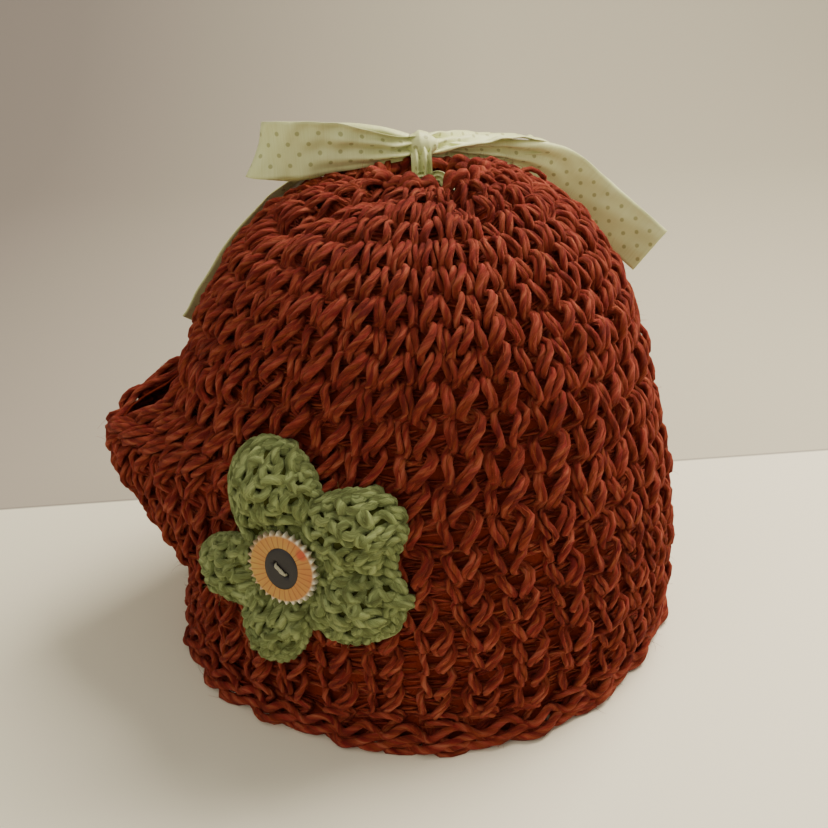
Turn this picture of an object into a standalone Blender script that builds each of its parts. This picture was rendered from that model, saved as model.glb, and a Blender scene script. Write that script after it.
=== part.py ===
"""Knitted tea cosy: two chunky stockinette panels sewn up at the sides, a puffy five-lobed
flower, a sunflower button and a satin ribbon tied in a bow behind the gathered neck.

The cosy is built as it stands over a pot: hollow, resting on its flared cast-on hem, with an
opening for the spout at -X, a slit for the handle at +X and the drawn-in neck on top. The pot
itself is not part of it. The front faces -Y and Z is up.

The knitted shell is one surface, shell(angle, rise): angle runs round the pot from +X over the
back (+Y) and rise runs from 0 at the hem to 1 at the neck. Everything sewn or laid on the cosy
takes its place from that same surface.
"""

import math

import bmesh
import bpy
import numpy as np

MM = 0.001
GAP = 0.3 * MM                      # what keeps touching pieces apart

# The seat of the pot in the part's frame, so that the origin is under the middle of the box.
POT_X = 12.7 * MM
POT_Y = 0.5 * MM

# ---------------------------------------------------------------- the shell's outline
CLOTH = 5.0 * MM                    # thickness of the knitted wall
ROUNDNESS = 2.15                    # 2 is an ellipse, more is squarer

# One row for each ring of the shell, in mm: how high it lies and how far it reaches from the
# pot's axis towards the spout, the handle, the front and the back.
RING_COLUMNS = ("rise", "height", "spout", "handle", "front", "back")
RINGS = (
    (0.00,   0.0, 91.0, 86.0, 87.5, 88.0),
    (0.05,   9.0, 91.0, 86.0, 87.5, 88.0),
    (0.12,  24.0, 90.5, 86.5, 87.5, 88.0),
    (0.22,  44.0, 89.0, 86.0, 87.0, 87.5),
    (0.33,  66.0, 88.5, 83.5, 84.5, 86.0),
    (0.43,  86.0, 86.0, 79.0, 80.0, 82.0),
    (0.53, 105.0, 80.5, 74.0, 74.5, 76.0),
    (0.63, 124.0, 73.0, 68.5, 67.0, 68.0),
    (0.74, 143.0, 60.5, 57.0, 55.5, 57.0),
    (0.86, 157.0, 41.0, 40.0, 37.5, 39.0),
    (0.95, 161.5, 22.0, 27.0, 21.5, 23.0),
    (1.00, 161.3, 11.5, 19.5, 15.5, 15.5),
)

# The knit is stretched out into a pouch along the spout: one row for each rise.
POUCH_COLUMNS = ("rise", "reach")
POUCH = (
    (0.00, 0.0), (0.12, 0.0), (0.17, 3.5), (0.22, 11.0), (0.27, 19.0), (0.33, 25.0),
    (0.385, 28.0), (0.425, 24.0), (0.46, 12.0), (0.52, 4.5), (0.60, 1.0), (0.70, 0.0), (1.00, 0.0),
)
POUCH_WIDTH = 0.42                  # radians to either side of the spout

# The cast-on hem flares out unevenly: one row for each direction, degrees and mm.
HEM_COLUMNS = ("direction", "flare")
HEM = (
    (-180, 6.0), (-165, 6.5), (-148, 7.5), (-134, 6.5), (-114, 3.0), (-99, 6.0), (-82, 5.0),
    (-60, 2.5), (-35, -1.5), (-14, 1.0), (0, 3.0), (30, 5.0), (60, 7.0), (90, 5.0), (120, 7.0),
    (150, 6.0), (180, 6.0),
)
HEM_RISE = 0.035                    # how far up the flare is felt
HEM_WAVES = 20                      # scallops of the cast-on edge, two stitches each
HEM_WAVE = 1.1 * MM

# The neck is higher in front, where the gathers bunch up against the knob.
NECK_TIP = 1.7 * MM
NECK_TIP_FROM = 0.80                # the rise at which it starts to tip

# Drawn-in folds round the neck: one row for each valley, degrees and mm.
FOLD_FULL = 0.96                    # the rise at which every fold has its whole depth
FOLD_COLUMNS = ("direction", "half_width", "depth", "from_rise")
FOLDS = (
    (-160, 7.0, 3.0, 0.80), (-134, 7.0, 3.4, 0.74), (-111, 5.5, 2.4, 0.80), (-87, 7.0, 5.2, 0.67),
    (-64, 6.0, 2.8, 0.82), (-42, 6.5, 3.0, 0.76), (-18, 6.5, 2.4, 0.80), (8, 6.5, 2.6, 0.80),
    (34, 6.0, 3.0, 0.76), (61, 6.5, 2.6, 0.80), (88, 6.0, 3.2, 0.76), (114, 6.5, 2.6, 0.80),
    (137, 6.5, 2.8, 0.79), (164, 10.5, 6.4, 0.71),
)

# ---------------------------------------------------------------- the two side openings
SPOUT_FROM, SPOUT_TO, SPOUT_HALF = 0.405, 0.56, 14.0 * MM
SPOUT_BLUNT = 0.6                   # 1 is a pointed oval, less has blunter ends
HANDLE_FROM, HANDLE_TO, HANDLE_HALF = 0.20, 0.66, 7.0 * MM
HANDLE_BLUNT = 0.4
SEAM_HALF = GAP / 2

PANEL_STEPS = 34                    # facets along a panel's width
RISE_STEPS = 24                     # facets from hem to neck

# ---------------------------------------------------------------- flower and button
FLOWER_AT = (-118.0, 0.329)         # direction in degrees and rise of its middle
FLOWER_BASE = 4.2 * MM              # thickness of its middle
FLOWER_SEAT = 12.6 * MM             # the flat middle that carries the button
FLOWER_RIM = 2.2 * MM
FLOWER_LIFT = 0.5 * MM              # how far its underside stands off the knit
FLOWER_WEB = 4.0 * MM               # how far it reaches past the seat between two lobes
FLOWER_SIDES = 50
FLOWER_STEPS = (0.16, 0.36, 0.58, 0.78, 0.93, 1.0)      # rings from the seat out to the rim
LOBE_SPREAD = 27.0                  # degrees over which a lobe's puff fades
MERGE = 9                           # how sharply the lobes' ovals merge: more is sharper

# One row for each lobe, in mm: its direction (0 towards the handle, 90 up), how far its tip
# reaches, how wide it is and how high it puffs up over the middle.
LOBE_COLUMNS = ("direction", "reach", "width", "puff")
LOBES = (
    (105, 39.0, 32.0, 8.5),
    (31, 39.2, 25.5, 7.5),
    (-24, 36.0, 32.0, 6.5),
    (-106, 39.0, 22.0, 6.5),
    (-159, 39.4, 22.0, 5.5),
)

BUTTON_RADIUS = 12.0 * MM
BUTTON_THICK = 2.4 * MM
BUTTON_TEETH = 26                   # petal tips round its edge
BUTTON_TOOTH = 0.9 * MM
BUTTON_EYE = (4.9 * MM, 6.0 * MM)   # half width and half height of the dark raised middle
BUTTON_EYE_RISE = 0.5 * MM
BUTTON_HOLE = 1.1 * MM              # radius of each thread hole
BUTTON_HOLE_APART = 4.6 * MM
BUTTON_HOLE_TURN = -40.0            # degrees by which the line through the holes slants
BUTTON_BEVEL = 0.4 * MM

# ---------------------------------------------------------------- ribbon
RIBBON_THICK = 1.0 * MM
STRIP_POINTS = 4                    # points across its width
NECK_BAND_RADIUS = 13.2 * MM        # middle of the drawn-up band inside the neck
NECK_BAND_AT = (4.0, 0.0, 158.4)    # its centre, mm
NECK_BAND_HEIGHT = 5.0 * MM
KNOT_AT = (2.0, 19.5, 167.0)
KNOT_SIZE = (12.0, 9.0, 9.0)        # mm over all
KNOT_WAIST = 0.12                   # share by which the wrap pulls its ends in
TIE_WIDTH = 7.0 * MM
LOOP_CROWN = 0.03                   # how far a strip bows across, as a share of its width
TAIL_CROWN = 0.02

# The middle line of a loop or of a tail that stands free, one row for each section: its place
# in mm, its width in mm, and the direction across its width.
STRIP_COLUMNS = ("x", "y", "z", "width", "across_x", "across_y", "across_z")
LOOP_LEFT = (
    (1.0, 18.0, 167.0, 7.0, 0.0, 0.0, 1.0),
    (-6.0, 13.5, 167.2, 9.0, 0.0, -0.1, 1.0),
    (-14.0, 11.0, 168.4, 12.0, 0.0, -0.1, 1.0),
    (-26.0, 9.5, 169.7, 16.8, 0.05, -0.1, 1.0),
    (-39.0, 9.3, 169.8, 18.7, 0.1, -0.05, 1.0),
    (-49.5, 11.0, 169.6, 18.7, 0.3, 0.0, 1.0),
    (-53.5, 15.5, 169.0, 18.7, 0.4, 0.1, 1.0),
    (-50.0, 20.5, 167.0, 18.7, 0.3, 0.1, 1.0),
    (-40.0, 24.0, 165.2, 18.5, 0.15, 0.1, 1.0),
    (-28.0, 25.5, 166.4, 16.5, 0.1, 0.1, 1.0),
    (-14.0, 23.5, 167.6, 12.0, 0.0, 0.0, 1.0),
    (-2.0, 20.5, 167.0, 7.0, 0.0, 0.0, 1.0),
)
LOOP_RIGHT = (
    (4.0, 20.0, 167.0, 7.0, 0.0, 0.3, 0.95),
    (13.0, 27.0, 166.3, 10.0, -0.2, 0.8, 0.4),
    (23.0, 36.0, 164.6, 15.0, -0.35, 0.93, 0.0),
    (34.0, 43.0, 163.0, 18.0, -0.3, 0.94, -0.12),
    (43.0, 47.0, 160.8, 19.0, -0.3, 0.94, -0.15),
    (46.5, 49.0, 157.8, 19.0, -0.3, 0.94, -0.2),
    (42.0, 48.0, 155.2, 19.0, -0.3, 0.92, -0.25),
    (32.0, 45.5, 154.8, 17.0, -0.3, 0.90, -0.3),
    (20.0, 38.0, 157.8, 12.0, -0.3, 0.90, -0.2),
    (8.0, 25.0, 164.0, 7.0, 0.0, 0.6, 0.6),
    (3.0, 21.0, 166.0, 6.0, 0.0, 0.3, 0.9),
)
TAIL_RIGHT = (
    (4.0, 20.5, 166.0, 6.0, 0.0, -0.2, 1.0),
    (11.0, 25.5, 164.0, 6.0, 0.0, -0.2, 1.0),
    (20.0, 31.5, 161.2, 7.0, 0.0, -0.25, 1.0),
    (32.0, 37.0, 158.4, 10.5, 0.05, -0.25, 1.0),
    (44.0, 40.0, 154.6, 15.5, 0.2, -0.28, 0.95),
    (54.0, 42.5, 148.6, 18.5, 0.45, -0.2, 0.85),
    (62.5, 41.0, 141.0, 18.7, 0.6, -0.15, 0.78),
    (73.0, 35.5, 132.0, 18.7, 0.62, -0.12, 0.78),
    (84.0, 27.5, 122.6, 18.7, 0.62, -0.1, 0.78),
)

# The other tail lies down the back of the shell: direction and rise where its middle line
# passes, how far that line stands off the knit, its width, and how steeply its edge on the
# neck's side stands away, in degrees.
TAIL_COLUMNS = ("direction", "rise", "lift", "width", "stand")
TAIL_LEFT = (
    (100, 0.960, 4.6, 7.0, 5.0),
    (121, 0.895, 3.4, 12.0, 4.0),
    (133, 0.825, 3.0, 17.5, 3.0),
    (142, 0.745, 3.0, 18.7, 5.0),
    (150, 0.665, 3.2, 18.7, 8.0),
    (156, 0.585, 3.8, 18.7, 12.0),
    (161, 0.510, 4.4, 18.7, 16.0),
)

# ---------------------------------------------------------------- finishes: colour, roughness
RUST_YARN = ((0.140, 0.022, 0.007), 0.90)
GREEN_YARN = ((0.150, 0.165, 0.060), 0.90)
BUTTON_RESIN = ((0.480, 0.250, 0.040), 0.35)
SATIN = ((0.330, 0.310, 0.130), 0.45)


# ---------------------------------------------------------------- numbers
def column(table, names, name):
    """One named column of a table as an array."""
    return np.array([row[names.index(name)] for row in table], dtype=float)


def glide(at, knots, values):
    """Smooth curve through a table's rows that never swings past them (monotone cubic)."""
    step = np.diff(knots)
    slope = np.diff(values) / step
    tangent = np.zeros_like(values)
    inner = slope[:-1] * slope[1:] > 0
    weight_a = 2 * step[1:] + step[:-1]
    weight_b = step[1:] + 2 * step[:-1]
    with np.errstate(divide="ignore", invalid="ignore"):
        mean = (weight_a + weight_b) / (weight_a / slope[:-1] + weight_b / slope[1:])
    tangent[1:-1] = np.where(inner, mean, 0.0)
    tangent[0], tangent[-1] = slope[0], slope[-1]
    at = np.clip(at, knots[0], knots[-1])
    i = np.clip(np.searchsorted(knots, at, side="right") - 1, 0, len(knots) - 2)
    h = step[i]
    t = (at - knots[i]) / h
    return ((2 * t**3 - 3 * t**2 + 1) * values[i] + (t**3 - 2 * t**2 + t) * h * tangent[i]
            + (3 * t**2 - 2 * t**3) * values[i + 1] + (t**3 - t**2) * h * tangent[i + 1])


def look_up(at, table, names, name):
    """A table's named column at any point along its first column."""
    return glide(at, column(table, names, names[0]), column(table, names, name))


def smooth_step(x):
    """0 below 0, 1 above 1, with a smooth rise between."""
    x = np.clip(x, 0.0, 1.0)
    return x * x * (3 - 2 * x)


def unit(vectors):
    """Vectors scaled to length 1."""
    return vectors / np.linalg.norm(vectors, axis=-1, keepdims=True)


def turn_between(a, b):
    """Signed angle from b to a, in radians, between -pi and pi."""
    return (a - b + math.pi) % (2 * math.pi) - math.pi


# ---------------------------------------------------------------- the shell
def smooth_shell(angle, rise):
    """The shell without its neck folds, in metres, from the pot's axis."""
    angle, rise = np.broadcast_arrays(np.asarray(angle, float), np.asarray(rise, float))
    cos, sin = np.cos(angle), np.sin(angle)
    reach = {side: look_up(rise, RINGS, RING_COLUMNS, side) * MM
             for side in ("spout", "handle", "front", "back", "height")}
    to_handle = 0.5 * (1 + np.tanh(3 * cos))
    to_back = 0.5 * (1 + np.tanh(3 * sin))
    half_x = reach["handle"] * to_handle + reach["spout"] * (1 - to_handle)
    half_y = reach["back"] * to_back + reach["front"] * (1 - to_back)
    power = 2 / ROUNDNESS
    x = half_x * np.sign(cos) * np.abs(cos) ** power
    y = half_y * np.sign(sin) * np.abs(sin) ** power
    bulge = look_up(rise, POUCH, POUCH_COLUMNS, "reach") * MM
    x = x - bulge * np.exp(-(turn_between(angle, math.pi) / POUCH_WIDTH) ** 2)
    direction = (np.degrees(angle) + 180) % 360 - 180
    flare = look_up(direction, HEM, HEM_COLUMNS, "flare") * MM
    flare = flare + HEM_WAVE * np.cos(HEM_WAVES * angle)
    flare = flare * np.exp(-(rise / HEM_RISE) ** 1.3)
    out = 1 + flare / np.hypot(x, y)
    tip = smooth_step((rise - NECK_TIP_FROM) / (1 - NECK_TIP_FROM))
    z = reach["height"] - NECK_TIP * sin * tip
    return np.stack((x * out, y * out, z), axis=-1)


def outward(angle, rise):
    """Unit normals of the smooth shell, pointing away from the pot."""
    step = 0.004                    # of a radian and of the rise
    angle, rise = np.asarray(angle, float), np.asarray(rise, float)
    low, high = np.clip(rise - step, 0.0, 1.0), np.clip(rise + step, 0.0, 1.0)
    onward = smooth_shell(angle + step, rise) - smooth_shell(angle - step, rise)
    up = smooth_shell(angle, high) - smooth_shell(angle, low)
    return unit(np.cross(onward, up))


def fold_depth(angle, rise):
    """How deep the neck's drawn-in folds are, in metres."""
    depth = np.zeros(np.broadcast(angle, rise).shape)
    for row in FOLDS:
        fold = dict(zip(FOLD_COLUMNS, row))
        across = np.degrees(turn_between(angle, math.radians(fold["direction"])))
        valley = np.exp(-(across / fold["half_width"]) ** 2)
        climb = smooth_step((rise - fold["from_rise"]) / (FOLD_FULL - fold["from_rise"]))
        depth = depth + fold["depth"] * MM * valley * climb
    return depth


def shell(angle, rise, lift=0.0):
    """The folded outer face of the knit, raised by lift along its normal."""
    lift = np.asarray(lift - fold_depth(angle, rise))
    return smooth_shell(angle, rise) + outward(angle, rise) * lift[..., None]


# ---------------------------------------------------------------- meshes
def dress(obj, name, finish):
    """Give an object its own plain Principled material."""
    colour, roughness = finish
    material = bpy.data.materials.new(name)
    material.use_nodes = True
    shader = material.node_tree.nodes["Principled BSDF"]
    shader.inputs["Base Color"].default_value = (*colour, 1.0)
    shader.inputs["Roughness"].default_value = roughness
    material.diffuse_color = (*colour, 1.0)
    obj.data.materials.append(material)


def add_object(name, points, faces, finish, smooth_angle=40.0):
    """A named object from points in metres and a list of faces that point outwards."""
    mesh = bpy.data.meshes.new(name)
    mesh.from_pydata([tuple(p) for p in points], [], faces)
    mesh.validate()
    mesh.shade_smooth()
    mesh.set_sharp_from_angle(angle=math.radians(smooth_angle))
    obj = bpy.data.objects.new(name, mesh)
    obj.location = (POT_X, POT_Y, 0.0)
    bpy.context.scene.collection.objects.link(obj)
    dress(obj, name, finish)
    return obj


def grid_faces(rows, columns, first=0, wrap=False, flip=False):
    """Quads between the points of a grid that is stored row after row."""
    faces = []
    for j in range(rows - 1):
        for i in range(columns if wrap else columns - 1):
            near, far = i, (i + 1) % columns
            quad = (first + j * columns + near, first + j * columns + far,
                    first + (j + 1) * columns + far, first + (j + 1) * columns + near)
            faces.append(quad[::-1] if flip else quad)
    return faces


def wall_between(outer, inner):
    """A closed wall from an outer and an inner grid of points of one size."""
    rows, columns = outer.shape[:2]
    count = rows * columns
    points = np.concatenate((outer.reshape(-1, 3), inner.reshape(-1, 3)))
    faces = grid_faces(rows, columns) + grid_faces(rows, columns, first=count, flip=True)
    rim = list(range(columns))
    rim += [(j + 1) * columns - 1 for j in range(1, rows)]
    rim += [rows * columns - 1 - i for i in range(1, columns)]
    rim += [(rows - 1 - j) * columns for j in range(1, rows - 1)]
    for near, far in zip(rim, rim[1:] + rim[:1]):
        faces.append((near, near + count, far + count, far))
    return points, faces


# ---------------------------------------------------------------- knitted panels
def opening_half(rise, start, end, half, blunt):
    """Half the width of a side opening at each rise: 0 outside it, full in its middle."""
    along = np.clip((rise - start) / (end - start), 0.0, 1.0)
    return half * np.sin(math.pi * along) ** blunt


def edge_angle(half_gap, depth):
    """The angle from the side seam at which the shell is half_gap away from the seam's plane."""
    return np.arcsin(np.clip(half_gap / depth, 0.0, 1.0) ** (ROUNDNESS / 2))


def rise_rows():
    """The rises at which a panel has points, closer together at the hem and the openings."""
    close, near, apart = 0.006, 0.020, 0.011
    even = np.linspace(0.0, 1.0, RISE_STEPS + 1)
    in_hem = (HEM_RISE / 3, 2 * HEM_RISE / 3)
    at_spout = (SPOUT_FROM, SPOUT_FROM + close, SPOUT_FROM + near,
                SPOUT_TO - near, SPOUT_TO - close, SPOUT_TO)
    at_handle = (HANDLE_FROM, HANDLE_FROM + close, HANDLE_TO - close, HANDLE_TO)
    fixed = np.array(in_hem + at_spout + at_handle)
    keep = [rise for rise in even if np.min(np.abs(fixed - rise)) > apart or rise in (0.0, 1.0)]
    return np.sort(np.concatenate((keep, fixed)))


def make_panel(name, side):
    """One knitted panel as a curved wall; side is -1 for the front and 1 for the back."""
    rise = rise_rows()
    depth = look_up(rise, RINGS, RING_COLUMNS, "front" if side < 0 else "back") * MM
    at_spout = SEAM_HALF + opening_half(rise, SPOUT_FROM, SPOUT_TO, SPOUT_HALF, SPOUT_BLUNT)
    at_handle = SEAM_HALF + opening_half(rise, HANDLE_FROM, HANDLE_TO, HANDLE_HALF, HANDLE_BLUNT)
    handle_end = side * edge_angle(at_handle, depth)
    spout_end = side * (math.pi - edge_angle(at_spout, depth))
    share = np.linspace(0.0, 1.0, PANEL_STEPS + 1)
    start, end = (spout_end, handle_end) if side < 0 else (handle_end, spout_end)
    angle = start[:, None] + (end - start)[:, None] * share[None, :]
    rise = np.repeat(rise[:, None], PANEL_STEPS + 1, axis=1)
    outer = shell(angle, rise)
    inner = shell(angle, rise, -CLOTH)
    outer[0, :, 2] = inner[0, :, 2] = 0.0
    inner[:, :, 2] = np.maximum(inner[:, :, 2], 0.0)
    for grid in (outer, inner):
        for edge in (grid[:, 0], grid[:, -1]):
            edge[:, 1] = side * np.maximum(side * edge[:, 1], SEAM_HALF)
    points, faces = wall_between(outer, inner)
    return add_object(name, points, faces, RUST_YARN)


# ---------------------------------------------------------------- flower and button
def on_flower(across, up, lift):
    """A point of the flower: metres to the side and up from its middle, then off the knit."""
    direction, rise = math.radians(FLOWER_AT[0]), FLOWER_AT[1]
    step = 0.01
    onward = smooth_shell(direction + step, rise) - smooth_shell(direction - step, rise)
    climb = smooth_shell(direction, rise + step) - smooth_shell(direction, rise - step)
    per_radian = np.linalg.norm(onward) / (2 * step)
    per_rise = np.linalg.norm(climb) / (2 * step)
    return shell(direction + across / per_radian, rise + up / per_rise, lift)


def lobe_outline(turn):
    """How far the flower reaches in each direction: five overlapping ovals, softly merged."""
    total = np.full_like(turn, (FLOWER_SEAT + FLOWER_WEB) ** MERGE)
    for row in LOBES:
        lobe = dict(zip(LOBE_COLUMNS, row))
        reach, half_wide = lobe["reach"] * MM, lobe["width"] * MM / 2
        middle, half_long = 0.56 * reach, 0.44 * reach
        t = turn_between(turn, math.radians(lobe["direction"]))
        a = (np.cos(t) / half_long) ** 2 + (np.sin(t) / half_wide) ** 2
        b = middle * np.cos(t) / half_long**2
        c = (middle / half_long) ** 2 - 1
        root = b * b - a * c
        hit = (root > 0) & (b > 0)
        far = np.where(hit, (b + np.sqrt(np.maximum(root, 0))) / a, 0.0)
        total = total + far**MERGE
    return total ** (1 / MERGE)


def lobe_puff(turn):
    """How high the lobes puff up in each direction, with valleys between them."""
    puff = np.zeros_like(turn)
    for row in LOBES:
        lobe = dict(zip(LOBE_COLUMNS, row))
        across = np.degrees(turn_between(turn, math.radians(lobe["direction"]))) / LOBE_SPREAD
        puff = np.maximum(puff, lobe["puff"] * MM * np.exp(-across**2))
    return puff


def make_flower():
    """The five-lobed flower: flat against the knit, flat under the button, puffy lobes."""
    turn = np.linspace(0, 2 * math.pi, FLOWER_SIDES, endpoint=False)
    reach, puff = lobe_outline(turn), lobe_puff(turn)
    seat = np.full_like(reach, FLOWER_SEAT)
    distance = np.array([seat / 2, seat] + [seat + (reach - seat) * step for step in FLOWER_STEPS])
    beyond = np.clip((distance - seat) / (reach - seat), 0.0, 1.0)
    dome = np.sin(math.pi * beyond ** 0.85) ** 0.7 * (1 - beyond**8)
    top = FLOWER_BASE + puff * dome - (FLOWER_BASE - FLOWER_RIM) * smooth_step((beyond - 0.6) / 0.4)
    across, up = distance * np.cos(turn), distance * np.sin(turn)
    upper = on_flower(across, up, top + FLOWER_LIFT)
    lower = on_flower(across, up, np.full_like(top, FLOWER_LIFT))
    middle = on_flower(np.zeros(2), np.zeros(2), np.array([FLOWER_BASE, 0.0]) + FLOWER_LIFT)
    rings_count, sides = distance.shape
    points = np.concatenate((upper.reshape(-1, 3), lower.reshape(-1, 3), middle))
    count = rings_count * sides
    faces = grid_faces(rings_count, sides, wrap=True, flip=True)
    faces += grid_faces(rings_count, sides, first=count, wrap=True)
    for i in range(sides):
        j = (i + 1) % sides
        faces.append((2 * count, i, j))
        faces.append((2 * count + 1, count + j, count + i))
        outer_i, outer_j = (rings_count - 1) * sides + i, (rings_count - 1) * sides + j
        faces.append((outer_i, outer_i + count, outer_j + count, outer_j))
    return add_object("flower", points, faces, GREEN_YARN)


def button_frame():
    """The button's middle and its three directions: to the side, up and outwards."""
    direction, rise = math.radians(FLOWER_AT[0]), FLOWER_AT[1]
    out = outward(direction, rise)
    middle = smooth_shell(direction, rise) + out * (FLOWER_LIFT + FLOWER_BASE + GAP)
    side = unit(np.cross(np.array([0.0, 0.0, 1.0]), out))
    return middle, side, np.cross(out, side), out


def button_disc(radii, heights, sides):
    """A turned solid over an outline: rings of given radii (one per side) and heights."""
    middle, side, up, out = button_frame()
    turn = np.linspace(0, 2 * math.pi, sides, endpoint=False)
    rings = [middle + np.outer(r * np.cos(turn), side) + np.outer(r * np.sin(turn), up) + out * h
             for r, h in zip(radii, heights)]
    points = np.concatenate(rings + [[middle + out * heights[0]], [middle + out * heights[-1]]])
    count = len(radii)
    faces = grid_faces(count, sides, wrap=True)
    for i in range(sides):
        j = (i + 1) % sides
        faces.append((count * sides, j, i))
        faces.append((count * sides + 1, (count - 1) * sides + i, (count - 1) * sides + j))
    return points, faces


def make_button():
    """The sunflower button: a toothed disc with a raised oval eye and two thread holes."""
    sides = 3 * BUTTON_TEETH
    turn = np.linspace(0, 2 * math.pi, sides, endpoint=False)
    rim = BUTTON_RADIUS - BUTTON_TOOTH * (0.5 - 0.5 * np.cos(BUTTON_TEETH * turn))
    eye_x, eye_y = BUTTON_EYE
    eye = 1 / np.sqrt((np.cos(turn) / eye_x) ** 2 + (np.sin(turn) / eye_y) ** 2)
    thick, bevel = BUTTON_THICK, BUTTON_BEVEL
    radii = [rim - bevel, rim, rim, rim - bevel, eye + 0.3 * MM, eye]
    heights = [0.0, bevel, thick - bevel, thick, thick - 0.2 * MM, thick + BUTTON_EYE_RISE]
    points, faces = button_disc(radii, heights, sides)
    button = add_object("button", points, faces, BUTTON_RESIN)
    middle, side, up, out = button_frame()
    slant = math.radians(BUTTON_HOLE_TURN)
    apart = (side * math.cos(slant) + up * math.sin(slant)) * BUTTON_HOLE_APART / 2
    for number, way in enumerate((-1, 1)):
        drill = add_cylinder(f"thread_hole_{number}", middle + way * apart, out, BUTTON_HOLE, 4 * thick)
        cut = button.modifiers.new(f"thread_hole_{number}", "BOOLEAN")
        cut.operation, cut.solver, cut.object = "DIFFERENCE", "EXACT", drill
    return button


def add_cylinder(name, middle, axis, radius, length, sides=10):
    """A hidden round cutter centred on a point."""
    helper = np.array([0.0, 0.0, 1.0])
    side = unit(np.cross(helper, axis))
    up = np.cross(axis, side)
    turn = np.linspace(0, 2 * math.pi, sides, endpoint=False)
    ring = radius * (np.outer(np.cos(turn), side) + np.outer(np.sin(turn), up))
    points = np.concatenate((middle + ring - axis * length / 2, middle + ring + axis * length / 2))
    faces = grid_faces(2, sides, wrap=True)
    faces += [tuple(range(sides))[::-1], tuple(range(sides, 2 * sides))]
    cutter = add_object(name, points, faces, BUTTON_RESIN)
    cutter.hide_render = True
    cutter.display_type = "WIRE"
    return cutter


# ---------------------------------------------------------------- ribbon
def along_rows(values, steps):
    """Values of a table at evenly spaced steps between its rows, on a smooth curve."""
    at = np.linspace(0, len(values) - 1, steps)
    before = np.clip(np.floor(at).astype(int), 0, len(values) - 2)
    t = (at - before)[:, None]
    padded = np.concatenate(([2 * values[0] - values[1]], values, [2 * values[-1] - values[-2]]))
    p0, p1, p2, p3 = (padded[before + k] for k in range(4))
    return 0.5 * (2 * p1 + (p2 - p0) * t + (2 * p0 - 5 * p1 + 4 * p2 - p3) * t**2
                  + (3 * p1 - p0 - 3 * p2 + p3) * t**3)


def strip(middle, across, width, crown=0.0):
    """A ribbon's closed solid along a middle line, with across as its width's direction."""
    run = unit(np.gradient(middle, axis=0))
    across = unit(across - run * np.sum(across * run, axis=1, keepdims=True))
    face = np.cross(run, across)
    share = np.linspace(-0.5, 0.5, STRIP_POINTS)
    bow = crown * (1 - 4 * share**2)
    centre = (middle[:, None] + across[:, None] * (width[:, None] * share)[..., None]
              + face[:, None] * (bow * width[:, None])[..., None])
    half = face[:, None] * RIBBON_THICK / 2
    return wall_between(centre - half, centre + half)


def read_rows(table, names, steps):
    """A table's named columns, each at evenly spaced steps along its smooth curve."""
    rows = along_rows(np.array(table, dtype=float), steps)
    return {name: rows[:, number] for number, name in enumerate(names)}


def free_strip(table, steps):
    """A bow loop or free tail from its table of places, widths and directions across."""
    row = read_rows(table, STRIP_COLUMNS, steps)
    middle = np.stack((row["x"], row["y"], row["z"]), axis=1) * MM
    across = np.stack((row["across_x"], row["across_y"], row["across_z"]), axis=1)
    return strip(middle, across, row["width"] * MM, LOOP_CROWN)


def tail_strip(table, steps):
    """A tail that lies on the shell, its edge on the neck's side standing away."""
    row = read_rows(table, TAIL_COLUMNS, steps)
    angle, rise = np.radians(row["direction"]), np.clip(row["rise"], 0.0, 1.0)
    out = outward(angle, rise)
    middle = smooth_shell(angle, rise) + out * (row["lift"] * MM)[:, None]
    run = unit(np.gradient(middle, axis=0))
    neckward = unit(smooth_shell(angle, np.clip(rise + 0.01, 0, 1)) - smooth_shell(angle, rise))
    flat = unit(neckward - run * np.sum(neckward * run, axis=1, keepdims=True))
    stand = np.radians(row["stand"])[:, None]
    across = flat * np.cos(stand) + out * np.sin(stand)
    return strip(middle, across, row["width"] * MM, TAIL_CROWN)


def neck_band():
    """The drawn-up band just inside the neck, a closed hoop."""
    sides = 28
    turn = np.linspace(0, 2 * math.pi, sides, endpoint=False)
    radial = np.stack((np.cos(turn), np.sin(turn), 0 * turn), axis=1)
    centre = np.array(NECK_BAND_AT) * MM
    half_t, half_h = RIBBON_THICK / 2, NECK_BAND_HEIGHT / 2
    corners = ((-half_t, -half_h), (half_t, -half_h), (half_t, half_h), (-half_t, half_h))
    rings = [centre + radial * (NECK_BAND_RADIUS + r) + np.array([0, 0, z]) for r, z in corners]
    points = np.concatenate(rings)
    faces = []
    for k in range(4):
        for i in range(sides):
            j = (i + 1) % sides
            a, b = k * sides, ((k + 1) % 4) * sides
            faces.append((a + i, a + j, b + j, b + i))
    return points, faces


def neck_tie():
    """The short length from the band's back up over the neck's edge into the knot."""
    x, y, z = KNOT_AT
    band_x, band_y, band_z = NECK_BAND_AT
    inside = band_y + NECK_BAND_RADIUS / MM
    rows = np.array((
        (x, inside, band_z - 1.0), (x, inside, band_z + 2.5), (x, inside + 0.3, z - 3.4),
        (x, inside + 2.2, z - 1.0), (x, y, z - 0.6),
    )) * MM
    middle = along_rows(rows, 13)
    across = np.tile(np.array([1.0, 0.0, 0.0]), (len(middle), 1))
    return strip(middle, across, np.full(len(middle), TIE_WIDTH))


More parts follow.
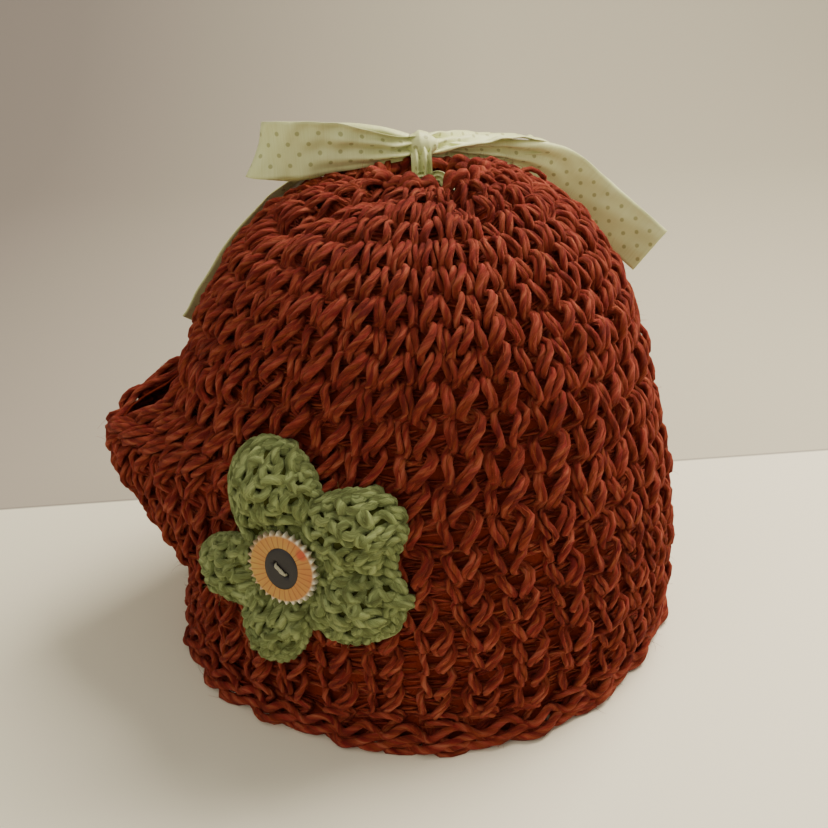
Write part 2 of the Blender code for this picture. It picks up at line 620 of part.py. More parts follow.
def knot():
    """The bow's knot: a rounded lump, narrower where its wrap pulls it in."""
    size = np.array(KNOT_SIZE) * MM / 2
    rings, sides = 9, 14
    tilt = np.linspace(0, math.pi, rings + 2)[1:-1]
    turn = np.linspace(0, 2 * math.pi, sides, endpoint=False)
    waist = 1 + KNOT_WAIST * np.cos(3.2 * (tilt - math.pi / 2))
    x = -np.cos(tilt)[:, None] * np.ones(sides)
    y = (np.sin(tilt) * waist)[:, None] * np.cos(turn)
    z = (np.sin(tilt) * waist)[:, None] * np.sin(turn)
    grid = np.stack((x, y, z), axis=-1) * size + np.array(KNOT_AT) * MM
    ends = np.array([[-1, 0, 0], [1, 0, 0]]) * size + np.array(KNOT_AT) * MM
    points = np.concatenate((grid.reshape(-1, 3), ends))
    faces = grid_faces(rings, sides, wrap=True, flip=True)
    first, last = rings * sides, rings * sides + 1
    for i in range(sides):
        j = (i + 1) % sides
        faces.append((first, i, j))
        faces.append((last, (rings - 1) * sides + j, (rings - 1) * sides + i))
    return points, faces


def make_ribbon():
    """One satin ribbon: band inside the neck, knot, two loops and two cut tails, united."""
    ribbon = add_object("ribbon", *outside_out(knot()), SATIN)
    lengths = {
        "neck_tie": neck_tie(),
        "neck_band": neck_band(),
        "loop_left": free_strip(LOOP_LEFT, 30),
        "loop_right": free_strip(LOOP_RIGHT, 26),
        "tail_left": tail_strip(TAIL_LEFT, 16),
        "tail_right": free_strip(TAIL_RIGHT, 18),
    }
    for name, solid in lengths.items():
        piece = add_object(name, *outside_out(solid), SATIN)
        piece.hide_render = True
        piece.display_type = "WIRE"
        join = ribbon.modifiers.new(name, "BOOLEAN")
        join.operation, join.solver, join.object = "UNION", "EXACT", piece
    return ribbon


def outside_out(solid):
    """The same closed solid with every face pointing outwards."""
    points, faces = solid
    work = bmesh.new()
    corners = [work.verts.new(p) for p in points]
    for face in faces:
        work.faces.new([corners[i] for i in face])
    bmesh.ops.recalc_face_normals(work, faces=work.faces)
    work.verts.index_update()
    turned = [tuple(v.index for v in face.verts) for face in work.faces]
    work.free()
    return points, turned


# ---------------------------------------------------------------- the whole part
def main():
    """Clear the scene and build every piece in it."""
    for obj in list(bpy.data.objects):
        bpy.data.objects.remove(obj, do_unlink=True)
    bpy.context.scene.unit_settings.system = "METRIC"
    make_panel("front_panel", -1)
    make_panel("back_panel", 1)
    make_flower()
    make_button()
    make_ribbon()
    bpy.context.view_layer.update()


main()
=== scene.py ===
"""Dress a knitted tea cosy: chunky stockinette, moss-stitch flower, sunflower button, satin bow.

The cosy stands hollow on its cast-on hem. Two panels of rust wool are sewn up at the sides, with
an opening for the spout at -X, a slit for the handle at +X and a neck drawn in by a ribbon. Every
strand of yarn is a tube that follows the path a real knitted loop takes.
"""

import logging
import math
from collections.abc import Callable
from dataclasses import dataclass, field
from enum import Enum
from functools import partial
from typing import Any

import bpy
import numpy as np
from mathutils import Matrix


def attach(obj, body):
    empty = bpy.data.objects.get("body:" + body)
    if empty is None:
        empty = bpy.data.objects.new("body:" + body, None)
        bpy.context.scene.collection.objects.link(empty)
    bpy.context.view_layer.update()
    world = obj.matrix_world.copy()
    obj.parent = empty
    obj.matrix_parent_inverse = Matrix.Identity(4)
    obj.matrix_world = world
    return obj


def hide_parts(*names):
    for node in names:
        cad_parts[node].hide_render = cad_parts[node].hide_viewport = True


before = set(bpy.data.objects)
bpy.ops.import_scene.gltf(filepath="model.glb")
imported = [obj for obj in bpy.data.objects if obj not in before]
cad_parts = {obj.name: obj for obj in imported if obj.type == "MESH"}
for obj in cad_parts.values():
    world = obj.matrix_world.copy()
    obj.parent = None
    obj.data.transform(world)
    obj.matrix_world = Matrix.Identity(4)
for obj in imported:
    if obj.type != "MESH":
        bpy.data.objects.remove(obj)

Array = np.ndarray
Material = bpy.types.Material
Node = bpy.types.Node
Piece = bpy.types.Object
Pair = tuple[float, float]
Triple = tuple[float, float, float]
YarnLine = tuple[Array, Array, Array]  # a yarn's middle line, outward directions and radii

MM = 0.001
BODY = "root"
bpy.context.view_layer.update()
POT = np.array((12.7, 0.5, 0.0)) * MM  # the pot's axis in the part's frame
TURN = 2 * math.pi

log = logging.getLogger("tea_cosy")


# ---- numbers
def glide(at: Array, knots: Array, values: Array) -> Array:
    """Run a smooth curve through a table's rows that never swings past them.

    A cubic between each two knots, whose slope at a knot is the weighted harmonic mean of the
    slopes on its two sides, or 0 where they differ in sign.

    Args:
        at: Where to read the curve.
        knots: The table's places, rising.
        values: The table's values.

    Returns:
        The curve's values.
    """
    step = np.diff(knots)
    slope = np.diff(values) / step
    tangent = np.zeros_like(values)
    inner = slope[:-1] * slope[1:] > 0
    weight_a = 2 * step[1:] + step[:-1]
    weight_b = step[1:] + 2 * step[:-1]
    with np.errstate(divide="ignore", invalid="ignore"):
        mean = (weight_a + weight_b) / (weight_a / slope[:-1] + weight_b / slope[1:])
    tangent[1:-1] = np.where(inner, mean, 0.0)
    tangent[0], tangent[-1] = slope[0], slope[-1]
    at = np.clip(at, knots[0], knots[-1])
    i = np.clip(np.searchsorted(knots, at, side="right") - 1, 0, len(knots) - 2)
    h = step[i]
    t = (at - knots[i]) / h
    return ((2 * t**3 - 3 * t**2 + 1) * values[i] + (t**3 - 2 * t**2 + t) * h * tangent[i]
            + (3 * t**2 - 2 * t**3) * values[i + 1] + (t**3 - t**2) * h * tangent[i + 1])


@dataclass(frozen=True)
class Table:
    """Sizes at a few places, with a smooth curve through each column."""

    columns: tuple[str, ...]
    rows: tuple

    def at(self, place: Array, name: str) -> Array:
        """Read a named column at any place along the first."""
        values = dict(zip(self.columns, np.array(self.rows, dtype=float).T))
        return glide(place, values[self.columns[0]], values[name])


def along_rows(values: Array, steps: int) -> Array:
    """Read a table at evenly spaced steps between its rows, on a Catmull-Rom curve.

    Args:
        values: One row for each knot.
        steps: How many rows to give back.

    Returns:
        The smoothed rows.
    """
    at = np.linspace(0, len(values) - 1, steps)
    before = np.clip(np.floor(at).astype(int), 0, len(values) - 2)
    t = (at - before)[:, None]
    padded = np.concatenate(([2 * values[0] - values[1]], values, [2 * values[-1] - values[-2]]))
    p0, p1, p2, p3 = (padded[before + k] for k in range(4))
    return 0.5 * (2 * p1 + (p2 - p0) * t + (2 * p0 - 5 * p1 + 4 * p2 - p3) * t**2
                  + (3 * p1 - p0 - 3 * p2 + p3) * t**3)


def smooth_step(x: Array, start: float = 0.0, over: float = 1.0) -> Array:
    """Rise smoothly from 0 at the start to 1 where x is that much over it: s s (3 - 2 s)."""
    share = np.clip((x - start) / over, 0.0, 1.0)
    return share * share * (3 - 2 * share)


def bell(x: Array) -> Array:
    """Give a bell curve, 1 at 0 and 1 / e at 1 to either side."""
    return np.exp(-x**2)


def unit(vectors: Array) -> Array:
    """Scale vectors to length 1."""
    return vectors / np.linalg.norm(vectors, axis=-1, keepdims=True)


def turn_between(a: Array, b: Array | float) -> Array:
    """Give the signed angle from b to a, in radians, between -pi and pi."""
    return (a - b + math.pi) % TURN - math.pi


def lengths_along(path: Array) -> Array:
    """Give how far along a path each of its points lies."""
    return np.concatenate(([0.0], np.cumsum(np.linalg.norm(np.diff(path, axis=0), axis=1))))


def around(count: int) -> Array:
    """Give even steps round one turn, in radians, without its end."""
    return np.linspace(0, TURN, count, endpoint=False)


@dataclass(frozen=True)
class Wander:
    """Smooth handmade unevenness over a cloth.

    The sum of sine waves, each of its own random direction, wavelength and phase.
    """

    size: float  # its usual swing
    seed: int
    longest: float = 5.0  # wavelengths, in stitches
    shortest: float = 1.3
    waves: int = 10

    def at(self, across: Array, along: Array) -> Array:
        """Read it.

        Args:
            across: Stitches across the cloth.
            along: Rows along the cloth.

        Returns:
            The offset, in the unit of size.
        """
        rng = np.random.default_rng(self.seed)
        wavelength = np.exp(rng.uniform(np.log(self.shortest), np.log(self.longest), self.waves))
        heading = rng.uniform(0, TURN, self.waves)
        phase = rng.uniform(0, TURN, self.waves)
        total = np.zeros(np.broadcast(across, along).shape)
        for wave, way, start in zip(wavelength, heading, phase):
            total = total + np.sin(TURN * (across * np.cos(way) + along * np.sin(way)) / wave + start)
        return self.size * total * math.sqrt(2 / self.waves)


# ---- meshes
@dataclass
class Patch:
    """Points and faces of a surface, with one UV pair for each corner of a face."""

    points: Array
    quads: Array
    quad_uv: Array
    tris: Array = field(default_factory=lambda: np.zeros((0, 3), int))
    tri_uv: Array = field(default_factory=lambda: np.zeros((0, 3, 2)))


def join(patches: list[Patch]) -> Patch:
    """Put several patches into one, each keeping its own points."""
    starts = np.cumsum([0] + [len(patch.points) for patch in patches[:-1]])
    return Patch(
        np.concatenate([patch.points for patch in patches]),
        np.concatenate([patch.quads + start for patch, start in zip(patches, starts)]),
        np.concatenate([patch.quad_uv for patch in patches]),
        np.concatenate([patch.tris + start for patch, start in zip(patches, starts)]),
        np.concatenate([patch.tri_uv for patch in patches]),
    )


def grid_patch(points: Array, uv: Array, wrap: bool = False, flip: bool = False) -> Patch:
    """Skin a grid of points with quads.

    Args:
        points: Rows by columns by 3.
        uv: Rows by columns by 2, with one column more than the points where they wrap.
        wrap: Whether the last column joins the first.
        flip: Whether the faces point the other way.

    Returns:
        The skin.
    """
    rows, columns = points.shape[:2]
    j, i = np.meshgrid(np.arange(rows - 1), np.arange(columns if wrap else columns - 1), indexing="ij")
    onward = (i + 1) % columns
    quads = np.stack((j * columns + i, j * columns + onward,
                      (j + 1) * columns + onward, (j + 1) * columns + i), axis=-1).reshape(-1, 4)
    corners = np.stack((uv[j, i], uv[j, i + 1], uv[j + 1, i + 1], uv[j + 1, i]), axis=2)
    corners = corners.reshape(-1, 4, 2)
    if flip:
        quads, corners = quads[:, ::-1], corners[:, ::-1]
    return Patch(points.reshape(-1, 3), quads, corners)


def wall_patch(outer: Array, inner: Array, uv: Array) -> Patch:
    """Close a wall between an outer and an inner grid of points of one size.

    Args:
        outer: Rows by columns by 3; its faces keep the grid's own winding.
        inner: The other face.
        uv: Rows by columns by 2, used on both faces and on the rim.

    Returns:
        The closed wall.
    """
    rows, columns = outer.shape[:2]
    count = rows * columns
    front, back = grid_patch(outer, uv), grid_patch(inner, uv, flip=True)
    index = np.arange(count).reshape(rows, columns)
    rim = np.concatenate((index[0], index[1:, -1], index[-1, -2::-1], index[-2:0:-1, 0]))
    ahead = np.roll(rim, -1)
    flat_uv = uv.reshape(-1, 2)
    edge = np.stack((rim, rim + count, ahead + count, ahead), axis=1)
    edge_uv = np.stack((flat_uv[rim], flat_uv[rim], flat_uv[ahead], flat_uv[ahead]), axis=1)
    return Patch(np.concatenate((front.points, back.points)),
                 np.concatenate((front.quads, back.quads + count, edge)),
                 np.concatenate((front.quad_uv, back.quad_uv, edge_uv)))


def close_ends(patch: Patch, hubs: tuple[Array, Array], sides: int, end_uv: tuple,
               back: bool = False) -> Patch:
    """Close both ends of a tube with triangles round a hub point.

    Args:
        patch: The tube, ring after ring.
        hubs: The hub points of its two ends.
        sides: How many points a ring has.
        end_uv: The UV pair of each end.
        back: Whether the rings run the other way round.

    Returns:
        The closed tube.
    """
    count = len(patch.points)
    tris = np.concatenate((fan(count, 0, sides, back), fan(count + 1, count - sides, sides, not back)))
    return Patch(np.concatenate((patch.points, hubs)), patch.quads, patch.quad_uv, tris,
                 np.repeat(np.array(end_uv), 3 * sides, axis=0).reshape(-1, 3, 2))


def fan(hub: int, first: int, sides: int, back: bool = False) -> Array:
    """Give the triangles from a hub point to a ring of points, wound forwards or back."""
    i = first + np.arange(sides)
    j = np.roll(i, -1)
    return np.stack((np.full(sides, hub), *((j, i) if back else (i, j))), axis=1)


def strand_tubes(rings: Array, length: float, shift: Pair) -> Patch:
    """Skin many thin three-sided strands at once, and close their tips.

    Args:
        rings: Strands by steps by the 3 points of a ring, by 3.
        length: How much of the UV map's length each strand takes.
        shift: How far along and round the UV map each lies from the one before.

    Returns:
        Their surfaces.
    """
    count, steps = rings.shape[:2]
    i, j, k = np.meshgrid(np.arange(count), np.arange(steps - 1), np.arange(3), indexing="ij")
    ahead, base = (k + 1) % 3, (i * steps + j) * 3
    quads = np.stack((base + k, base + 3 + k, base + 3 + ahead, base + ahead), axis=-1)
    uv = np.stack((j / steps * length + i * shift[0], k / 3 + i * shift[1]), axis=-1)
    foot = np.arange(count)[:, None] * steps * 3 + np.arange(3)
    tris = np.concatenate((foot, foot[:, ::-1] + (steps - 1) * 3))
    return Patch(rings.reshape(-1, 3), quads.reshape(-1, 4),
                 np.repeat(uv.reshape(-1, 1, 2), 4, axis=1), tris, np.zeros((len(tris), 3, 2)))


def link(name: str, data: Any, axes: tuple = (), place: Array | None = None) -> Piece:
    """Put a new object in the scene.

    Args:
        name: Its name.
        data: Its mesh, camera or light.
        axes: For a camera or a light, the directions of its right, its top and its back.
        place: Where that stands.

    Returns:
        The object.
    """
    thing = bpy.data.objects.new(name, data)
    if axes:
        matrix = Matrix.Identity(4)
        for i, axis in enumerate((*axes, place)):
            matrix.col[i][:3] = axis
        thing.matrix_world = matrix
    bpy.context.scene.collection.objects.link(thing)
    return thing


def make_piece(name: str, patch: Patch, material: Material) -> Piece:
    """Make a mesh object from a patch, dress it and let it ride on the cosy.

    Args:
        name: The object's name.
        patch: Its surface, in the pot's frame.
        material: Its finish.

    Returns:
        The object.
    """
    points = patch.points + POT
    points[:, 2] = np.maximum(points[:, 2], 0.0)  # pressed flat on what the cosy stands on
    mesh = bpy.data.meshes.new(name)
    mesh.vertices.add(len(points))
    mesh.vertices.foreach_set("co", points.astype(np.float32).ravel())
    corners = np.concatenate((patch.quads.ravel(), patch.tris.ravel())).astype(np.int32)
    sizes = np.repeat((4, 3), (len(patch.quads), len(patch.tris)))
    mesh.loops.add(len(corners))
    mesh.loops.foreach_set("vertex_index", corners)
    mesh.polygons.add(len(sizes))
    mesh.polygons.foreach_set("loop_start", (np.cumsum(sizes) - sizes).astype(np.int32))
    mesh.update(calc_edges=True)
    mesh.shade_smooth()
    uv = np.concatenate((patch.quad_uv.reshape(-1, 2), patch.tri_uv.reshape(-1, 2)))
    mesh.uv_layers.new(name="run").uv.foreach_set("vector", uv.astype(np.float32).ravel())
    mesh.materials.append(material)
    piece = link(name, mesh)
    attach(piece, BODY)
    log.info("%s: %d triangles", name, 2 * len(patch.quads) + len(patch.tris))
    return piece


# ---- finishes
def linear(colour: str, alpha: float = 1.0) -> tuple[float, float, float, float]:
    """Turn an sRGB hex colour into linear RGBA."""
    shares = [int(colour[i:i + 2], 16) / 255 for i in (1, 3, 5)]
    red, green, blue = (c / 12.92 if c <= 0.04045 else ((c + 0.055) / 1.055) ** 2.4 for c in shares)
    return red, green, blue, alpha


def feed(node: Node, *values: Any, **named: Any) -> Node:
    """Set a node's inputs, or link them to what feeds them.

    Args:
        node: The node.
        values: For its enabled inputs in their order, a value, a socket, or a node, whose first
            enabled output feeds it.
        named: The same for inputs by their names, with _ for a space.

    Returns:
        The node.
    """
    pairs = list(zip([socket for socket in node.inputs if socket.enabled], values))
    pairs += [(node.inputs[name.replace("_", " ")], value) for name, value in named.items()]
    for socket, value in pairs:
        if isinstance(value, Node):
            value = next(output for output in value.outputs if output.enabled)
        if isinstance(value, bpy.types.NodeSocket):
            node.id_data.links.new(value, socket)
        else:
            socket.default_value = value
    return node


def add(tree: bpy.types.NodeTree, kind: str, *values: Any, **named: Any) -> Node:
    """Add a shader node.

    Args:
        tree: The material's node tree.
        kind: The node's type, without "ShaderNode", then its operation, or a mix's data type.
        values: What its enabled inputs take, in their order.
        named: What inputs take by their names, which start with a capital, and its properties.

    Returns:
        The node.
    """
    kind, _, choice = kind.partition(" ")
    node = tree.nodes.new("ShaderNode" + kind)
    if choice:
        setattr(node, "data_type" if kind == "Mix" else "operation", choice)
    inputs = {name: value for name, value in named.items() if name[0].isupper()}
    for name in [name for name in named if name not in inputs]:
        setattr(node, name, named[name])
    return feed(node, *values, **inputs)


def new_material(name: str) -> tuple[Material, Callable[..., Node], Node]:
    """Start a material with one Principled shader.

    Args:
        name: The material's name.

    Returns:
        The material, the function that adds to its nodes, and its shader.
    """
    material = bpy.data.materials.new(name)
    material.use_nodes = True
    tree = material.node_tree
    return material, partial(add, tree), tree.nodes["Principled BSDF"]


def own_uv(put: Callable[..., Node]) -> tuple[bpy.types.NodeSocket, bpy.types.NodeSocket]:
    """Read a piece's UV map: along it, and round or across it."""
    run = put("SeparateXYZ", put("UVMap", uv_map="run"))
    return run.outputs[0], run.outputs[1]


@dataclass(frozen=True)
class PliedWool:
    """Wool yarn spun from several plies: matt, hairy, its plies' grooves painted darker as shade and
    their crowns painted lighter.

    The surface is streaked along the fibres, which lie at a slant because the plies are twisted;
    the dye took unevenly, so tufts run from a dark stain through the body's colour to paler ones,
    and a sheen gives the yarn a pale bloom at grazing angles.
    """

    name: str
    bright: str  # a tuft of pale fibres on a crown
    pale: str  # a well lit crown of a ply
    deep: str  # the body colour
    stain: str  # the darker fibres between
    plies: int = 3
    ply_pitch: float = 11.0 * MM  # length of one full twist
    streak_width: float = 0.36 * MM  # drawn coarser than the real 0.03 mm fibre, to show
    streak_length: float = 3.6 * MM
    tuft_width: float = 1.3 * MM
    tuft_length: float = 8.0 * MM
    circumference: float = 11.5 * MM
    contrast: float = 1.0  # how much the fibres' lightness varies

    def build(self) -> Material:
        """Make the material from the yarn's own UV map: length in metres, turns round it.

        Returns:
            The material.
        """
        material, put, shader = new_material(self.name)
        along, round_ = own_uv(put)
        place = put("TexCoord").outputs["Object"]
        stray = put("TexNoise", Vector=place, Scale=190.0, Detail=1.0)
        twist = put("Math MULTIPLY_ADD", along, 1 / self.ply_pitch / self.plies, round_)
        twist = put("Math ADD", twist, put("Math MULTIPLY_ADD", stray, 0.16, -0.08))

        def streaks(length: float, width: float, detail: float) -> Node:
            """Give noise stretched along the twisted fibres."""
            at = put("CombineXYZ", put("Math MULTIPLY", along, 1 / length),
                     put("Math MULTIPLY", twist, self.circumference / width))
            return put("TexNoise", Vector=at, Scale=1.0, Detail=detail, Roughness=0.72)

        streak = streaks(self.streak_length, self.streak_width, 4.0)
        tuft = streaks(self.tuft_length, self.tuft_width, 2.0)
        wave = put("Math SINE", put("Math MULTIPLY", twist, TURN * self.plies))
        crown = put("Math MULTIPLY_ADD", wave, 0.5, 0.5)
        patchy = put("TexNoise", Vector=place, Scale=110.0, Detail=2.0)
        fuzz = put("TexNoise", Vector=place, Scale=2600.0, Detail=2.0)
        lightness = put("Math MULTIPLY_ADD", streak, 0.48, put("Math MULTIPLY", tuft, 0.42))
        # painted shade and highlight: the plies' crowns are made lighter and their grooves darker
        lightness = put("Math ADD", lightness, put("Math MULTIPLY_ADD", crown, 0.18, -0.04))
        lightness = put("Math ADD", lightness, put("Math MULTIPLY_ADD", patchy, 0.44, -0.22))
        lightness = put("Math MULTIPLY_ADD", lightness, self.contrast, 0.55 * (1 - self.contrast))
        ramp = put("ValToRGB", lightness)
        stops = ramp.color_ramp.elements
        stops[0].position, stops[0].color = 0.34, linear(self.stain)
        stops[1].position, stops[1].color = 0.75, linear(self.bright)
        stops.new(0.49).color = linear(self.deep)
        stops.new(0.61).color = linear(self.pale)
        hue = put("HueSaturation", Color=ramp, Hue=put("Math MULTIPLY_ADD", tuft, 0.05, 0.4755))
        height = put("Math MULTIPLY_ADD", crown, 0.40, put("Math MULTIPLY", streak, 0.65))
        height = put("Math MULTIPLY_ADD", fuzz, 0.25, height)
        bump = put("Bump", Strength=0.95, Distance=0.0014, Height=height)
        feed(shader, Base_Color=hue, Normal=bump, Roughness=0.88, Specular_IOR_Level=0.25,
             Sheen_Weight=0.20, Sheen_Roughness=0.55, Sheen_Tint=linear(self.bright))
        return material


@dataclass(frozen=True)
class PaintedShadeBed:
    """The bed of fibre and yarn backs behind the stitches, coloured dark as painted shade: it stands
    for the shadowed inside that shows through the gaps.
    """

    name: str
    pale: str
    dark: str

    def build(self) -> Material:
        """Make the material: matt, clouded at the scale of a fibre tangle.

        Returns:
            The material.
        """
        material, put, shader = new_material(self.name)
        tangle = put("TexNoise", Vector=put("TexCoord").outputs["Object"], Scale=700.0, Detail=4.0,
                     Distortion=1.5)
        # painted shade: both colours of the bed stand for the shade deep in the gaps
        feed(shader, Base_Color=put("Mix RGBA", tangle, linear(self.dark), linear(self.pale)),
             Normal=put("Bump", Strength=0.8, Distance=0.0006, Height=tangle),
             Roughness=0.95, Specular_IOR_Level=0.1)
        return material


@dataclass(frozen=True)
class DottedSatin:
    """Polyester satin ribbon, woven with a smooth face and printed with small dots."""

    name: str = "olive_dotted_satin"
    ground: str = "#e2e9ad"
    shade: str = "#cdd28e"
    dot: str = "#989b5c"
    dot_pitch: float = 6.9 * MM  # along a row of dots
    row_pitch: float = 3.5 * MM
    dot_radius: float = 0.75 * MM
    rows: int = 4
    thread: float = 0.35 * MM  # drawn coarser than the real 0.1 mm, to show

    def build(self) -> Material:
        """Make the material from the ribbon's UV map: metres along it and across its middle.

        A dot lies where the distance to the nearest point of a staggered lattice is under its
        radius, on rows that stay inside the plain margins.

        Returns:
            The material.
        """
        material, put, shader = new_material(self.name)
        along, across = own_uv(put)
        row_at = put("Math ADD", put("Math DIVIDE", across, self.row_pitch), self.rows / 2)
        row = put("Math FLOOR", row_at)
        odd = put("Math MODULO", put("Math ADD", row, 40.0), 2.0)  # 40 keeps it above nought
        stagger = put("Math MULTIPLY", odd, 0.5)
        place = put("Math FRACT", put("Math ADD", put("Math DIVIDE", along, self.dot_pitch), stagger))
        off_along = put("Math MULTIPLY", put("Math SUBTRACT", place, 0.5), self.dot_pitch)
        off_across = put("Math SUBTRACT", put("Math SUBTRACT", row_at, row), 0.5)
        off_across = put("Math MULTIPLY", off_across, self.row_pitch)
        away = put("Math SQRT", put("Math ADD", put("Math POWER", off_along, 2.0),
                                    put("Math POWER", off_across, 2.0)))
        in_rows = put("Math LESS_THAN", put("Math ABSOLUTE", across), self.rows * self.row_pitch / 2)
        edge = put("MapRange", away, self.dot_radius * 1.12, self.dot_radius * 0.85)
        spot = put("Math MULTIPLY", put("Math MULTIPLY", edge, in_rows), 0.75)
        weft = put("Math SINE", put("Math MULTIPLY", along, TURN / self.thread))
        at = put("CombineXYZ", put("Math MULTIPLY", along, 1 / self.thread),
                 put("Math MULTIPLY", across, 60.0))
        threads = put("TexNoise", Vector=at, Scale=1.0)
        body = put("Mix RGBA", threads, linear(self.shade), linear(self.ground))
        feed(shader, Base_Color=put("Mix RGBA", spot, body, linear(self.dot)),
             Normal=put("Bump", Strength=0.15, Distance=0.0001, Height=weft),
             Roughness=0.42, Anisotropic=0.5, Sheen_Weight=0.15)
        return material


@dataclass(frozen=True)
class PrintedButton:
    """A sunflower printed in satin ink on a laser-cut wooden disc, whose cut edge stays pale."""

    name: str = "printed_sunflower"
    tip: str = "#dcd5bd"
    petal: str = "#b38a3c"
    warm: str = "#b26a2c"
    line: str = "#86481c"
    spot: str = "#b5431f"
    eye: str = "#181214"
    rays: int = 30  # dark lines between the petals

    def build(self) -> Material:
        """Make the material from the button's UV map: share of the radius, turns round it.

        Returns:
            The material.
        """
        material, put, shader = new_material(self.name)
        share, turns = own_uv(put)
        place = put("TexCoord").outputs["Object"]
        cloud = put("TexNoise", Vector=place, Scale=160.0, Detail=3.0)
        angle = put("Math MULTIPLY", turns, TURN)
        right = put("Math MULTIPLY", share, put("Math COSINE", angle))
        at = put("CombineXYZ", right, put("Math MULTIPLY", share, put("Math SINE", angle)))
        mix = put("Math MULTIPLY_ADD", cloud, 1.6, put("Math MULTIPLY_ADD", right, 0.45, -0.40))
        petal = put("Mix RGBA", mix, linear(self.petal), linear(self.warm))
        near = put("VectorMath DISTANCE", at, (0.58, 0.50, 0.0))
        petal = put("Mix RGBA", put("MapRange", near, 0.10, 0.18, 0.9, 0.0), petal, linear(self.spot))
        ray = put("Math SINE", put("Math MULTIPLY", turns, TURN * self.rays / 2))
        thin = put("MapRange", put("Math ABSOLUTE", ray), 0.05, 0.45, 0.75, 0.0)
        rayed = put("Mix RGBA", thin, petal, linear(self.line))
        pale = put("Math MULTIPLY", put("MapRange", share, 0.86, 0.93),
                   put("MapRange", right, -0.75, 0.05, 0.35, 1.0))
        tipped = put("Mix RGBA", pale, rayed, linear(self.tip))
        in_eye = put("Math LESS_THAN", share, 0.0)
        feed(shader, Base_Color=put("Mix RGBA", in_eye, tipped, linear(self.eye)), Roughness=0.5)
        return material


@dataclass(frozen=True)
class CottonThread:
    """Mercerised sewing cotton: pale, smooth and faintly shiny."""

    name: str = "pale_sewing_cotton"
    colour: str = "#a8a48c"

    def build(self) -> Material:
        """Make the material: a pale thread with a fine slanting twist.

        Returns:
            The material.
        """
        material, put, shader = new_material(self.name)
        along, round_ = own_uv(put)
        twist = put("Math ADD", put("Math MULTIPLY", along, 1400.0), put("Math MULTIPLY", round_, 2.0))
        strand = put("Math SINE", put("Math MULTIPLY", twist, TURN))
        feed(shader, Base_Color=linear(self.colour), Roughness=0.6,
             Normal=put("Bump", Strength=0.5, Distance=0.0002, Height=strand))
        return material


# ---- the shell
@dataclass(frozen=True)
class Fold:
    """One valley where the neck is drawn in."""

    direction: float  # degrees round the pot
    half_width: float  # degrees
    depth: float  # mm
    from_rise: float  # where it starts to deepen
    slant: float = 0  # degrees that it turns for one unit of rise


